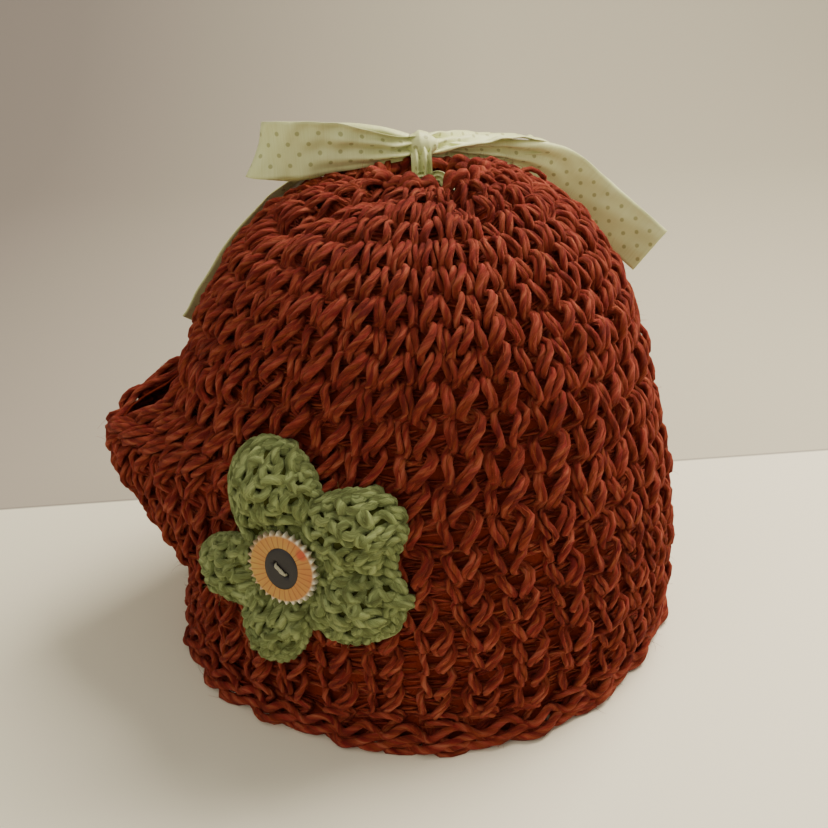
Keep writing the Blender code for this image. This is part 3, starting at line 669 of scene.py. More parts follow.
@dataclass(frozen=True)
class Shell:
    """The cosy's outer face, which everything on it takes its place from.

    The angle runs round the pot from +X over the back (+Y), and the rise from 0 at the hem to 1
    at the neck. Each ring is a superellipse with its own reach towards the spout, the handle, the
    front and the back; a pouch bulges out along the spout, the hem flares and the neck is folded.
    """

    rings: Table = Table(("rise", "height", "spout", "handle", "front", "back"), (
        (0, 0, 91, 86, 87.5, 88),
        (0.05, 9, 91, 86, 87.5, 88),
        (0.12, 24, 90.5, 86.5, 87.5, 88),
        (0.22, 44, 89, 86, 87, 87.5),
        (0.33, 66, 88.5, 83.5, 84.5, 86),
        (0.43, 86, 86, 79, 80, 82),
        (0.53, 105, 80.5, 74, 74.5, 76),
        (0.63, 124, 73, 68.5, 67, 68),
        (0.74, 143, 60.5, 57, 55.5, 57),
        (0.86, 157, 41, 40, 37.5, 39),
        (0.95, 161.5, 22, 27, 21.5, 23),
        (1, 161.3, 11.5, 19.5, 15.5, 15.5),
    ))
    pouch: Table = Table(("rise", "reach"), (
        (0, 0), (0.12, 0), (0.17, 3.5), (0.22, 11), (0.27, 19), (0.33, 25),
        (0.385, 28), (0.425, 24), (0.46, 12), (0.52, 4.5), (0.60, 1), (0.70, 0),
        (1, 0),
    ))
    hem: Table = Table(("direction", "flare"), (
        (-180, 6), (-165, 6), (-148, 5.5), (-134, 4), (-114, 2.5), (-99, 5), (-82, 4.5),
        (-60, 0), (-35, -3), (-14, 0), (0, 3), (30, 5), (60, 7), (90, 5),
        (120, 7), (150, 6), (180, 6),
    ))
    folds: tuple[Fold, ...] = (
        Fold(-160, 7, 2, 0.80), Fold(-134, 11, 5.4, 0.72, 330), Fold(-105, 5, 1, 0.84),
        Fold(-87, 5, 1.6, 0.84), Fold(-66, 7, 5, 0.74, -120), Fold(-42, 6.5, 3, 0.76),
        Fold(-18, 6.5, 2.4, 0.80), Fold(8, 6.5, 2.6, 0.80), Fold(34, 6, 3, 0.76),
        Fold(61, 6.5, 2.6, 0.80), Fold(88, 6, 3.2, 0.76), Fold(114, 6.5, 2.6, 0.80),
        Fold(137, 6.5, 2.8, 0.79), Fold(164, 10.5, 4.6, 0.72),
    )
    fold_full: float = 0.96
    fold_deeper: float = 1.30  # the yarn's own folds, by the shell's
    fold_ridge: float = 1.6 * MM  # how far the yarn stands up between them
    slant_at: float = 0.89  # the rise where a slanting fold has its own direction
    slant_span: Pair = (-0.07, 0.05)  # how far below and above that it slants
    fold_fade: tuple = (0.75, 0.925, 0.05)  # how much the left fold shallows, from where, over what
    roundness: float = 2.15
    pouch_width: float = 0.42
    hem_rise: float = 0.035
    hem_fade: float = 1.3  # the power by which the flare dies away over that rise
    hem_waves: int = 20
    hem_wave: float = 1.1 * MM
    neck_tip: float = 1.7 * MM
    neck_tip_from: float = 0.80
    ridge_over: Pair = (0.80, 0.16)  # from which rise, over what rise
    side_turn: float = 3.0  # how sharply one side's reach passes into the next's
    meridian: float = 201.8 * MM  # from hem to neck over the front

    def smooth(self, angle: Array, rise: Array) -> Array:
        """Give points of the shell without its neck folds, from the pot's axis.

        x and y are the reach times the sign and the power 2 / roundness of the angle's cosine and
        sine; the pouch pulls x out by a bell curve round the spout, and the hem flares along the
        radius by an amount that dies away with the rise.

        Args:
            angle: Radians round the pot.
            rise: 0 at the hem to 1 at the neck.

        Returns:
            Points in metres.
        """
        angle, rise = np.broadcast_arrays(np.asarray(angle, float), np.asarray(rise, float))
        cos, sin = np.cos(angle), np.sin(angle)
        reach = {name: self.rings.at(rise, name) * MM for name in self.rings.columns[1:]}
        to_handle = 0.5 * (1 + np.tanh(self.side_turn * cos))
        to_back = 0.5 * (1 + np.tanh(self.side_turn * sin))
        half_x = reach["handle"] * to_handle + reach["spout"] * (1 - to_handle)
        half_y = reach["back"] * to_back + reach["front"] * (1 - to_back)
        power = 2 / self.roundness
        x = half_x * np.sign(cos) * np.abs(cos) ** power
        y = half_y * np.sign(sin) * np.abs(sin) ** power
        bulge = self.pouch.at(rise, "reach") * MM
        x = x - bulge * bell(turn_between(angle, math.pi) / self.pouch_width)
        direction = np.degrees(turn_between(angle, 0.0))
        flare = self.hem.at(direction, "flare") * MM
        flare = flare + self.hem_wave * np.cos(self.hem_waves * angle)
        flare = flare * np.exp(-(np.maximum(rise, 0) / self.hem_rise) ** self.hem_fade)
        out = 1 + flare / np.hypot(x, y)
        tip = smooth_step(rise, self.neck_tip_from, 1 - self.neck_tip_from)
        return np.stack((x * out, y * out, reach["height"] - self.neck_tip * sin * tip), axis=-1)

    def outward(self, angle: Array, rise: Array) -> Array:
        """Give the smooth shell's unit normals: the cross product of its two slopes."""
        step = 0.004
        angle, rise = np.asarray(angle, float), np.asarray(rise, float)
        low, high = np.clip(rise - step, 0.0, 1.0), np.clip(rise + step, 0.0, 1.0)
        onward = self.smooth(angle + step, rise) - self.smooth(angle - step, rise)
        return unit(np.cross(onward, self.smooth(angle, high) - self.smooth(angle, low)))

    def fold_depth(self, angle: Array, rise: Array) -> Array:
        """Give how deep the neck's folds are: a bell curve across each, growing with the rise."""
        depth = np.zeros(np.broadcast(angle, rise).shape)
        slanted = np.clip(rise - self.slant_at, *self.slant_span)
        fade, *fade_over = self.fold_fade
        for fold in self.folds:
            middle = np.radians(fold.direction + fold.slant * slanted)
            across = np.degrees(turn_between(angle, middle))
            valley = bell(across / fold.half_width)
            climb = smooth_step(rise, fold.from_rise, self.fold_full - fold.from_rise)
            if fold.slant > 0:
                climb = climb * (1 - fade * smooth_step(rise, *fade_over))
            depth = depth + fold.depth * MM * valley * climb
        return depth

    def face(self, angle: Array, rise: Array, lift: Array = 0.0) -> Array:
        """Give points of the folded face, raised by lift along the smooth shell's normals."""
        ridge = self.fold_ridge * smooth_step(np.asarray(rise), *self.ridge_over)
        lift = np.asarray(lift + ridge - self.fold_deeper * self.fold_depth(angle, rise))
        return self.smooth(angle, rise) + self.outward(angle, rise) * lift[..., None]


SHELL = Shell()


# ---- yarn
@dataclass(frozen=True)
class Yarn:
    """A plied yarn, swept along a path as a lobed tube whose lobes twist like the plies."""

    radius: float
    sides: int = 12
    plies: int = 3
    relief: float = 0.09  # depth of the grooves, as a share of the radius
    ply_pitch: float = 11.0 * MM
    squash: float = 0.88  # how flat it is pressed against the cloth
    uneven: float = 0.30  # how much its twist and its grooves come and go

    def sweep(self, path: Array, out: Array, start: float = 0.0, width: Array | float = 1.0,
              closed: bool = False) -> Patch:
        """Carry the yarn's outline along a path.

        Each ring is the path's point plus r (cos a side + sin a up), where up is the outward
        direction made square to the run, and r = radius (1 + relief cos(plies (a + twist))). The
        twist runs ahead and lags by two sines of the length, as hand-worked yarn does.

        Args:
            path: The middle line's points.
            out: The direction away from the cloth at each point.
            start: The yarn's length before this path, which shifts its pattern.
            width: A factor on the radius at each point.
            closed: Whether the path's end meets its start.

        Returns:
            The tube, with length and turns as its UV.
        """
        if closed:
            run = unit(np.roll(path, -1, axis=0) - np.roll(path, 1, axis=0))
        else:
            run = unit(np.gradient(path, axis=0))
        side = unit(np.cross(run, out))
        up = np.cross(side, run)
        length = lengths_along(path)
        a = around(self.sides) - math.pi / 2
        loose = self.uneven * (np.sin(length / (4.3 * MM) + 97 * start)
                               + 0.8 * np.sin(length / (1.9 * MM) + 61 * start))
        twist = TURN * (start + length) / self.ply_pitch / self.plies + loose
        relief = self.relief * (1 + 2 * self.uneven * np.sin(length / (3.1 * MM) + 43 * start))
        r = self.radius * (1 + relief[:, None] * np.cos(self.plies * (a + twist[:, None])))
        r = r * np.broadcast_to(width, length.shape)[:, None]
        rings = (path[:, None] + (r * np.cos(a))[..., None] * side[:, None]
                 + (r * np.sin(a) * self.squash)[..., None] * up[:, None])
        if closed:
            rings = np.concatenate((rings, rings[:1]))
            length = np.append(length, length[-1] + np.linalg.norm(path[0] - path[-1]))
            loose = np.append(loose, loose[-1])
        turns = np.linspace(0, 1, self.sides + 1) + loose[:, None] / TURN
        uv = np.stack(np.broadcast_arrays((start + length)[:, None], turns), axis=-1)
        patch = grid_patch(rings, uv, wrap=True, flip=True)
        if closed:
            keep = len(patch.points) - self.sides  # the last ring is the first again
            return Patch(patch.points[:keep], patch.quads % keep, patch.quad_uv)
        return close_ends(patch, (path[0], path[-1]), self.sides, (uv[0, 0], uv[-1, 0]))


@dataclass(frozen=True)
class Loops:
    """The shape of the knitted loops, by how high up the cosy they are.

    With w the place along the row in stitches, the yarn runs at w + bulge sin(4 pi w) +
    pinch sin(2 pi w) sideways, -cos(2 pi w) up and -tanh(step cos(4 pi w)) outwards: a loop's head
    stands at its cell's middle, its legs lie in front and its head and feet behind. Pinched loops
    stand as narrow ribs with ladders between them. Purled, the outward part is turned round.
    """

    gauge: Table = Table(("rise", "bulge", "pinch", "lean", "depth", "thickness"), (
        (0, 0.200, 0.050, 0.070, 1.70, 1.04),
        (0.07, 0.205, 0.060, 0.085, 1.90, 1.06),
        (0.30, 0.210, 0.060, 0.090, 1.90, 1.09),
        (0.41, 0.220, 0.030, 0.090, 2, 1.20),
        (0.60, 0.225, 0.010, 0.090, 1.95, 1.18),
        (0.80, 0.210, 0, 0.080, 1.75, 1.02),
        (1, 0.190, 0, 0.050, 1.50, 0.86),
    ))
    proud: float = 0.45 * MM  # how much prouder the right leg lies
    fuller: float = 0.05  # how much thicker the right leg is drawn out
    step: float = 1.7  # how sharply the yarn steps between front and back
    hook: float = 1.05  # how far loops hook over the next row's, by the doubled yarn's radius
    points: int = 17  # along each loop

    def at(self, rise: float) -> list[float]:
        """Read the gauge's columns: widths in stitches, the depth in mm, thickness as a factor."""
        return [float(self.gauge.at(np.array([rise]), name)[0]) for name in self.gauge.columns[1:]]


# ---- knitted panels
class Side(Enum):
    """Which panel it is, with the sign of Y on its side of the pot."""

    FRONT = -1
    BACK = 1


class Uneven(Enum):
    """How the loops differ: the usual swing, the seed and the longest wave in stitches."""

    LEAN = (0.40, 71, 3.0)
    ACROSS = (0.055, 31, 5.0)
    RISE = (0.14, 57, 5.0)
    OUT = (0.42 * MM, 91, 5.0)
    WIDTH = (0.08, 17, 2.0)
    TWIST = (0.7, 23, 2.5)
    APART = (0.22, 37, 3.0)

    def along(self, side: Side, across: Array, row: int) -> Array:
        """Read it at places along a panel's row."""
        size, seed, longest = self.value
        return Wander(size, seed + 10 * side.value, longest).at(across, np.full_like(across, row))


@dataclass
class Panel:
    """One stockinette panel: 19 stitches wide and 22 rows high, with a shaped neck."""

    side: Side
    wool: Material
    # the bed's material, dark as painted shade in the gaps
    bed: Material
    # the gap strands' wool, a darker copy as painted shade
    inner: Material
    shell: Shell = SHELL
    loops: Loops = Loops()
    strand: Yarn = Yarn(radius=0.98 * MM, sides=7, plies=2, ply_pitch=7.0 * MM, squash=0.95)
    apart: float = 0.82 * MM  # from the doubled yarn's middle to each strand's
    selvedge_yarn: Yarn = Yarn(radius=1.45 * MM, sides=10)
    middle: float = -2.3 * MM  # the yarn's middle plane below the outer face
    row_heights: tuple[float, ...] = (
        7.8, 7.9, 8.2, 8.4, 8.3, 8.3, 8.4, 8.8,
        9.6, 10.5, 10.8, 10.5, 9.4, 8.5, 8.4, 8.7,
        9.3, 9.8, 9.6, 8.8, 7.6, 5.6,
    )
    first_row: float = 4.2  # mm above the floor where the first row starts
    stitches: int = 19
    spout: tuple[float, float, float, float] = (0.405, 0.56, 14.0 * MM, 0.6)
    handle: tuple[float, float, float, float] = (0.20, 0.66, 7.0 * MM, 0.4)
    edge_room: float = 2.6 * MM  # from the panel's edge to its last loops
    selvedge_room: float = 1.5 * MM  # from the panel's edge to its selvedge's middle
    selvedge_swing: Pair = (0.5 * MM, 0.9 * MM)  # aside and outwards, in each row
    bed_room: float = -1.2 * MM  # the bed runs past the seam, so no light comes through
    gather: float = 0.12  # how much narrower the middle stitches get higher up
    gather_over: Pair = (0.42, 0.25)  # from which rise, over what rise
    # how much narrower they are beside the spout and handle, at what share of the row, over what
    crowd: tuple = ((0.26, 0.05, 0.17), (0.18, 1.0, 0.25))
    crowd_over: Pair = (0.55, 0.20)  # where that dies away, over what rise
    aside_over: float = 0.30  # share of the row that an opening pushes aside
    lean: float = 1.12  # how much the loops lean, by the gauge's
    upright: float = 0.55  # how much less the loops lean by the handle
    upright_over: Pair = (0.40, 0.45)  # from which share of the row, over how much
    lean_range: Pair = (0.3, 1.45)  # the least and the most
    sway: Pair = (0.5, 8.3 * MM)  # how far the strands turn to and fro, and how fast
    slide_over: Pair = (0.10, 0.26)  # where the slide dies away, over how much
    slide: Table = Table(("rise", "off"), (  # how far the rows beside the spout lie off the rest
        (0, 0), (0.10, 0), (0.25, 0.006), (0.36, 0.006), (0.45, -0.012), (0.53, -0.030),
        (0.62, -0.032), (0.75, -0.018), (0.88, 0), (1, 0),
    ))
    bed_depth: Pair = (3.7 * MM, 4.3 * MM)  # its two faces below the outer face
    bed_span: tuple[float, float, int] = (0.02, 0.985, 61)  # from and to which rise, in how many
    tuck: float = 0.2 * MM  # how much lower the back's bed lies, under the front's
    grid: tuple[int, int] = (61, 241)  # rises and shares of a row where angles are kept
    angles: Array | None = None
    lines: list[YarnLine] = field(default_factory=list)

    @property
    def name(self) -> str:
        """Give the panel's name."""
        return self.side.name.lower()

    def rows(self) -> Array:
        """Give the rises at which one row ends and the next begins."""
        mm = np.cumsum((self.first_row,) + self.row_heights)
        return mm * MM / self.shell.meridian

    def row_stitches(self, row: int) -> int:
        """Give a row's stitches in this panel: fewer in the last rows, which are decreased."""
        last = len(self.row_heights) - row
        return {1: 9, 2: 10, 3: 13, 4: 15}.get(last, self.stitches)

    def ends(self, rise: Array, room: float, opened: float = 1.0) -> tuple[Array, Array]:
        """Give the angles of the panel's two edges at each rise.

        A side opening's half width is half sin(pi share) to the power blunt, and the edge lies at
        the angle whose sine, to the power 2 / roundness, reaches that far out of the seam's plane.

        Args:
            rise: Where on the shell.
            room: How far inside the real edge to stay, or, below nought, to run past it.
            opened: How far the openings stand open, from 0 to 1.

        Returns:
            The angle where the panel starts and the one where it ends, as the angle grows.
        """
        depth = self.shell.rings.at(rise, self.name) * MM
        angles = []
        for start, end, half, blunt in (self.spout, self.handle):
            share = np.clip((rise - start) / (end - start), 0.0, 1.0)
            gap = opened * half * np.sin(math.pi * share) ** blunt + room
            out = np.clip(gap / depth, -1, 1)
            angles.append(np.arcsin(np.sign(out) * np.abs(out) ** (self.shell.roundness / 2)))
        at_spout, at_handle = angles
        if self.side is Side.FRONT:
            return -math.pi + at_spout, -at_handle
        return at_handle, math.pi - at_spout

    def from_spout(self, share: Array) -> Array:
        """Turn a share of the way along a row into the share of the way from the spout."""
        return share if self.side is Side.FRONT else 1 - share

    def lie(self, share: Array, rise: Array) -> Array:
        """Slide the rows beside the spout: spread under the pouch, crowded on its top."""
        near = 1 - smooth_step(self.from_spout(share), *self.slide_over)
        return rise + near * self.slide.at(rise, "off")

    def spread(self) -> Array:
        """Work out where even shares of a row lie, at every rise.

        The stitches share out a row's true length, except that those beside the spout are
        narrower, and that above the shoulder those in the panel's middle are drawn together: a
        share u takes u - gather sin(4 pi u) / (4 pi). An opening pushes only its own side's
        stitches aside.

        Returns:
            Angles, with a row for each rise and a column for each share.
        """
        rises, shares = (np.linspace(0, 1, count) for count in self.grid)
        angles = []
        for rise in rises:
            start, end = self.ends(np.array(rise), self.edge_room, 0.0)
            aside = np.array(self.ends(np.array(rise), self.edge_room)) - (start, end)
            angle = start + (end - start) * shares
            length = lengths_along(self.shell.smooth(angle, np.full_like(angle, rise)))
            off = self.from_spout(shares)
            beside = sum(by * bell((off - at) / over) for by, at, over in self.crowd)
            width = 1 - beside * (1 - smooth_step(rise, *self.crowd_over))
            taken = np.concatenate(([0.0], np.cumsum((width[1:] + width[:-1]) / 2)))
            taken = taken / taken[-1]
            pull = self.gather * smooth_step(rise, *self.gather_over)
            wanted = taken - pull * np.sin(2 * TURN * taken) / (2 * TURN)
            angle = np.interp(wanted, length / length[-1], angle)
            angles.append(angle + aside[0] * (1 - smooth_step(shares, 0.0, self.aside_over))
                          + aside[1] * smooth_step(shares, 1 - self.aside_over, self.aside_over))
        return np.array(angles)

    def place(self, w: Array, rise: Array, stitches: int) -> Array:
        """Turn a place along a row, in stitches, into an angle round the pot."""
        if self.angles is None:
            self.angles = self.spread()
        rows, columns = self.grid
        row, column = np.clip(rise, 0, 1) * (rows - 1), np.clip(w / stitches, 0, 1) * (columns - 1)
        j = np.minimum(row.astype(int), rows - 2)
        i = np.minimum(column.astype(int), columns - 2)
        up, over = row - j, column - i
        low = self.angles[j, i] * (1 - over) + self.angles[j, i + 1] * over
        high = self.angles[j + 1, i] * (1 - over) + self.angles[j + 1, i + 1] * over
        return low * (1 - up) + high * up

    def yarn_row(self, row: int) -> Patch:
        """Knit one row: the loops' formula along the row, bent onto the shell.

        Args:
            row: Its number from the hem.

        Returns:
            Its yarn.
        """
        n = self.row_stitches(row)
        edges = self.rows()
        low, high = edges[row], edges[row + 1]
        middle = (low + high) / 2
        bulge, pinch, lean_by, depth, thick = self.loops.at(middle)
        before = low - edges[row - 1] if row else high - low
        after = edges[row + 2] - high if row + 2 < len(edges) else high - low
        reach = self.loops.hook * thick * (self.strand.radius + 0.6 * self.apart) / self.shell.meridian
        up_reach = (high - low + after) / 4 + reach
        down_reach = (high - low + before) / 4 + reach
        w = np.linspace(0, n, n * self.loops.points + 1)
        wander = {kind: kind.along(self.side, w * self.stitches / n, row) for kind in Uneven}
        upright = self.upright * smooth_step(self.from_spout(w / n), *self.upright_over)
        lean = lean_by * np.clip(self.lean - upright + wander[Uneven.LEAN], *self.lean_range)
        rise_share = -np.cos(TURN * w)
        purl = -1.0 if row == 0 else 1.0  # the first row is purled
        across = (w + bulge * np.sin(2 * TURN * w) + pinch * np.sin(TURN * w) + lean * rise_share
                  + wander[Uneven.ACROSS])
        rise = middle + np.where(rise_share > 0, up_reach, down_reach) * rise_share
        rise = rise + wander[Uneven.RISE] * (high - low) / 2
        step = np.tanh(self.loops.step * np.cos(2 * TURN * w)) / math.tanh(self.loops.step)
        out = (-purl * depth * MM * step
               - self.loops.proud * np.sin(TURN * w) + wander[Uneven.OUT])
        rise = self.lie(np.clip(across / n, 0, 1), rise)
        angle = self.place(across, rise, n)
        path = self.shell.face(angle, rise, self.middle + out)
        normal = self.shell.outward(angle, rise)
        width = thick * (1 + wander[Uneven.WIDTH] - self.loops.fuller * np.sin(TURN * w))
        run = unit(np.gradient(path, axis=0))
        side = unit(np.cross(run, normal))
        sway, over = self.sway
        turn = sway * np.sin(lengths_along(path) / over + row) + wander[Uneven.TWIST]
        apart = np.cos(turn)[:, None] * side + np.sin(turn)[:, None] * np.cross(side, run)
        apart = apart * (self.apart * width * (1 + wander[Uneven.APART]))[:, None]
        strands = []
        for way in (-1, 1):
            line = path + way * apart
            self.lines.append((line, normal, width * self.strand.radius))
            strands.append(self.strand.sweep(line, normal, 0.37 * row + 4.7 * way, width))
        return join(strands)

    def selvedges(self) -> Patch:
        """Run the yarn up both edges of the panel, round the end stitch of each row."""
        edges = self.rows()
        rise = np.linspace(edges[0], edges[-1], 12 * len(self.row_heights))
        row = np.interp(rise, edges, np.arange(len(edges)))
        strands = []
        aside, outwards = self.selvedge_swing
        for number in range(2):
            angle = self.ends(rise, self.selvedge_room + aside * np.sin(TURN * row))[number]
            lift = self.middle + outwards * np.cos(TURN * row + number)
            path = self.shell.face(angle, rise, lift)
            normal = self.shell.outward(angle, rise)
            strands.append(self.selvedge_yarn.sweep(path, normal, 11.3 + number))
            self.lines.append((path, normal, np.full(len(path), self.selvedge_yarn.radius)))
        return join(strands)

    def ground(self) -> Patch:
        """Lay the thin bed of fibre and yarn backs that closes the gaps, behind the yarn, in the dark
        painted-shade material.
        """
        rise = np.linspace(*self.bed_span)[:, None]
        share = np.linspace(0, 1, 81)[None, :]
        start, end = self.ends(rise, self.bed_room)
        angle = start + (end - start) * share
        rise = np.broadcast_to(rise, angle.shape)
        uv = np.stack((share * np.ones_like(rise), rise), axis=-1)
        under = self.tuck if self.side is Side.BACK else 0.0
        faces = [self.shell.face(angle, rise, -depth - under) for depth in self.bed_depth]
        return wall_patch(*faces, uv)

    def build(self) -> None:
        """Make the panel's bed, its selvedges and its rows of yarn, in several light pieces."""
        name = self.name
        ground = make_piece(f"{name}_panel_bed", self.ground(), self.bed)
        ends = {"lower_rows": (0, 7), "middle_rows": (7, 14), "upper_rows": (14, len(self.row_heights))}
        pieces = [make_piece(f"{name}_panel_{part}", join([self.yarn_row(row) for row in range(*rows)]),
                             self.wool) for part, rows in ends.items()]
        pieces.append(GapStrands(self, self.inner, 3000, 8).build())
        pieces.append(make_piece(f"{name}_selvedges", self.selvedges(), self.wool))
        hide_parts(f"{name}_panel")


# ---- edges
@dataclass(frozen=True)
class Twist:
    """Strands laid round each other on a closed line round the shell."""

    yarn: Yarn
    rise: float  # how far up the shell the line lies, in metres
    swing: Pair  # how far the strands swing outwards and upwards
    turns: int  # how many times each circles the others
    strands: int
    lift: float  # the line's height over the shell's face
    steps: int  # points along each strand
    floor: float = 0.0  # the lowest that a strand's middle may lie


@dataclass
class Edges:
    """The cast-on hem, with a chain of loops above it, and the cast-off neck."""

    wool: Material
    shell: Shell = SHELL
    hem_yarn: Yarn = Yarn(radius=1.42 * MM, sides=9, relief=0.12)
    neck_yarn: Yarn = Yarn(radius=1.75 * MM, sides=10)
    lines: list[YarnLine] = field(default_factory=list)

    def ring(self, twist: Twist) -> Patch:
        """Lay a twist.

        A strand's middle line is the line plus swing (cos p outwards, sin p upwards), where the
        phase p grows by one turn each time it circles the others and wavers by two sines.

        Args:
            twist: Its sizes.

        Returns:
            The strands.
        """
        angle = around(twist.steps)
        patches = []
        for number in range(twist.strands):
            wobble = 0.35 * np.sin(7 * angle + number) + 0.25 * np.sin(11 * angle + 2 * number)
            phase = twist.turns * angle + TURN * number / twist.strands + wobble
            height = twist.rise + twist.swing[1] * np.sin(phase)
            rise = np.clip(height / self.shell.meridian, 0.0, 1.0)
            normal = self.shell.outward(angle, rise)
            path = self.shell.face(angle, rise, twist.lift + twist.swing[0] * np.cos(phase))
            if twist.floor:
                path[:, 2] = np.maximum(height, twist.floor)
            patches.append(twist.yarn.sweep(path, normal, start=0.9 * number, closed=True))
            self.lines.append((path, normal, np.full(len(path), twist.yarn.radius)))
        return join(patches)

    def build(self) -> None:
        """Make the edges."""
        hem = Twist(self.hem_yarn, 3.1 * MM, (1.5 * MM, 1.4 * MM), turns=20, strands=2,
                    lift=-1.0 * MM, steps=560, floor=1.05 * self.hem_yarn.radius)
        chain = Twist(self.hem_yarn, 7.4 * MM, (0.9 * MM, 2.0 * MM), turns=40, strands=1,
                      lift=-0.8 * MM, steps=560)
        neck = Twist(self.neck_yarn, 199.0 * MM, (1.3 * MM, 1.5 * MM), turns=11, strands=2,
                     lift=0.2 * MM, steps=300)
        make_piece("cast_on_edge", join([self.ring(hem), self.ring(chain)]), self.wool)
        make_piece("cast_off_edge", self.ring(neck), self.wool)


def yarn_points(lines: list[YarnLine]) -> tuple[Array, Array, Array, Array]:
    """Put the points of several yarns into one list.

    Args:
        lines: The yarns' lines.

    Returns:
        The points, their directions along the yarn and outwards, and the radii there.
    """
    line, out, radius = (np.concatenate(values) for values in zip(*lines))
    run = np.concatenate([unit(np.gradient(path, axis=0)) for path, _, _ in lines])
    return line, run, out, radius


@dataclass
class StrayFibres:
    """Loose ends of fibre that stand off the yarn in short curves."""

    wool: Material
    name: str
    slot: str
    count: int
    seed: int
    length: Pair = (2.5 * MM, 7.0 * MM)
    radius: float = 0.055 * MM  # drawn thicker than the real 0.015 mm, to show
    steps: int = 5

    def build(self, lines: list[YarnLine]) -> None:
        """Grow the fibres from yarns.

        A fibre's middle line is its root plus length (a t + b t t), where a leaves the yarn and b
        bends it back along the cloth; it tapers to its tip.

        Args:
            lines: The yarns' lines.
        """
        rng = np.random.default_rng(self.seed)
        points = yarn_points(lines)
        pick = rng.integers(0, len(points[0]), self.count)
        line, run, out, radius = (values[pick] for values in points)
        side = unit(np.cross(run, out))
        slant = rng.uniform(-1.2, 1.2, self.count)[:, None]
        away = out * np.cos(slant) + side * np.sin(slant)
        random = unit(rng.normal(size=(self.count, 3)))
        length = rng.uniform(*self.length, self.count)[:, None, None]
        first = unit(0.75 * away + 0.8 * run * rng.choice((-1, 1), (self.count, 1)) + 0.5 * random)
        bend = unit(rng.normal(size=(self.count, 3))) - 0.9 * first
        t = np.linspace(0, 1, self.steps)[None, :, None]
        points = (line + 0.92 * away * radius[:, None])[:, None] + length * (
            first[:, None] * t + 0.45 * bend[:, None] * t * t)
        points[..., 2] = np.maximum(points[..., 2], 3 * self.radius)
        tangent = unit(np.gradient(points, axis=1))
        across = unit(np.cross(tangent, random[:, None]))
        up = np.cross(tangent, across)
        a = -around(3)[:, None]
        thick = self.radius * (1 - 0.75 * t[..., None])
        rings = points[:, :, None] + thick * (np.cos(a) * across[:, :, None]
                                              + np.sin(a) * up[:, :, None])
        make_piece(self.name, strand_tubes(rings, 0.004, (0.013, 0.0)), self.wool)


def flat_strands(points: Array, away: Array, half_width: Array) -> Patch:
    """Make thin strands, three-sided and flat, that swell in the middle and taper to both tips.

    Args:
        points: Their middle lines, a row for each strand.
        away: Directions away from what each lies on.
        half_width: One for each strand.

    Returns:
        Their surfaces.
    """
    t = np.linspace(0, 1, points.shape[1])
    across = unit(np.cross(unit(np.gradient(points, axis=1)), away))
    wide = (half_width * (0.25 + 0.75 * np.sin(math.pi * (0.12 + 0.76 * t))))[..., None]
    rings = np.stack((points - across * wide, points + unit(away) * 0.55 * wide,
                      points + across * wide), axis=2)
    return strand_tubes(rings, 0.002, (0.0137, 0.19))


@dataclass
class SurfaceTufts:
    """Tufts of fibre that lie along the yarn, a little proud of it and slightly askew."""

    wool: Material
    name: str
    slot: str
    count: int
    seed: int
    half_width: float = 0.15 * MM
    reach: Pair = (1.6, 4.0)  # how far along the yarn's middle line, in its points
    steps: int = 3

    def build(self, lines: list[YarnLine]) -> None:
        """Lay the tufts on yarns.

        A tuft's middle line is the yarn's own point plus the radius times (cos a out + sin a
        side), where the turn a drifts along it.

        Args:
            lines: The yarns' lines.
        """
        rng = np.random.default_rng(self.seed)
        size = (self.count, 1)
        sizes = np.array([len(path) for path, _, _ in lines])
        starts = np.cumsum(sizes) - sizes
        which = rng.choice(len(lines), self.count, p=sizes / sizes.sum())
        line, run, out, radius = yarn_points(lines)
        side = unit(np.cross(run, out))
        up = np.cross(side, run)
        t = np.linspace(0, 1, self.steps)[None, :]
        reach = rng.uniform(*self.reach, self.count)
        first = rng.uniform(0, 1, self.count) * (sizes[which] - 2 - reach)
        at = starts[which][:, None] + first[:, None] + t * reach[:, None]
        low = at.astype(int)
        over = (at - low)[..., None]

        def read(values: Array) -> Array:
            """Read values along the yarns between their points."""
            return values[low] * (1 - over) + values[low + 1] * over

        turn = rng.uniform(-1.25, 1.25, size) + t * rng.normal(0.35, 0.45, size)
        away = read(up) * np.cos(turn)[..., None] * 0.9 + read(side) * np.sin(turn)[..., None]
        bow = (1.02 + rng.uniform(0, 0.10, size) * np.sin(math.pi * t))[..., None]
        points = read(line) + away * bow * read(radius[:, None])
        points[..., 2] = np.maximum(points[..., 2], 2 * self.half_width)
        wide = self.half_width * rng.uniform(0.6, 1.3, size)
        make_piece(self.name, flat_strands(points, away, wide), self.wool)


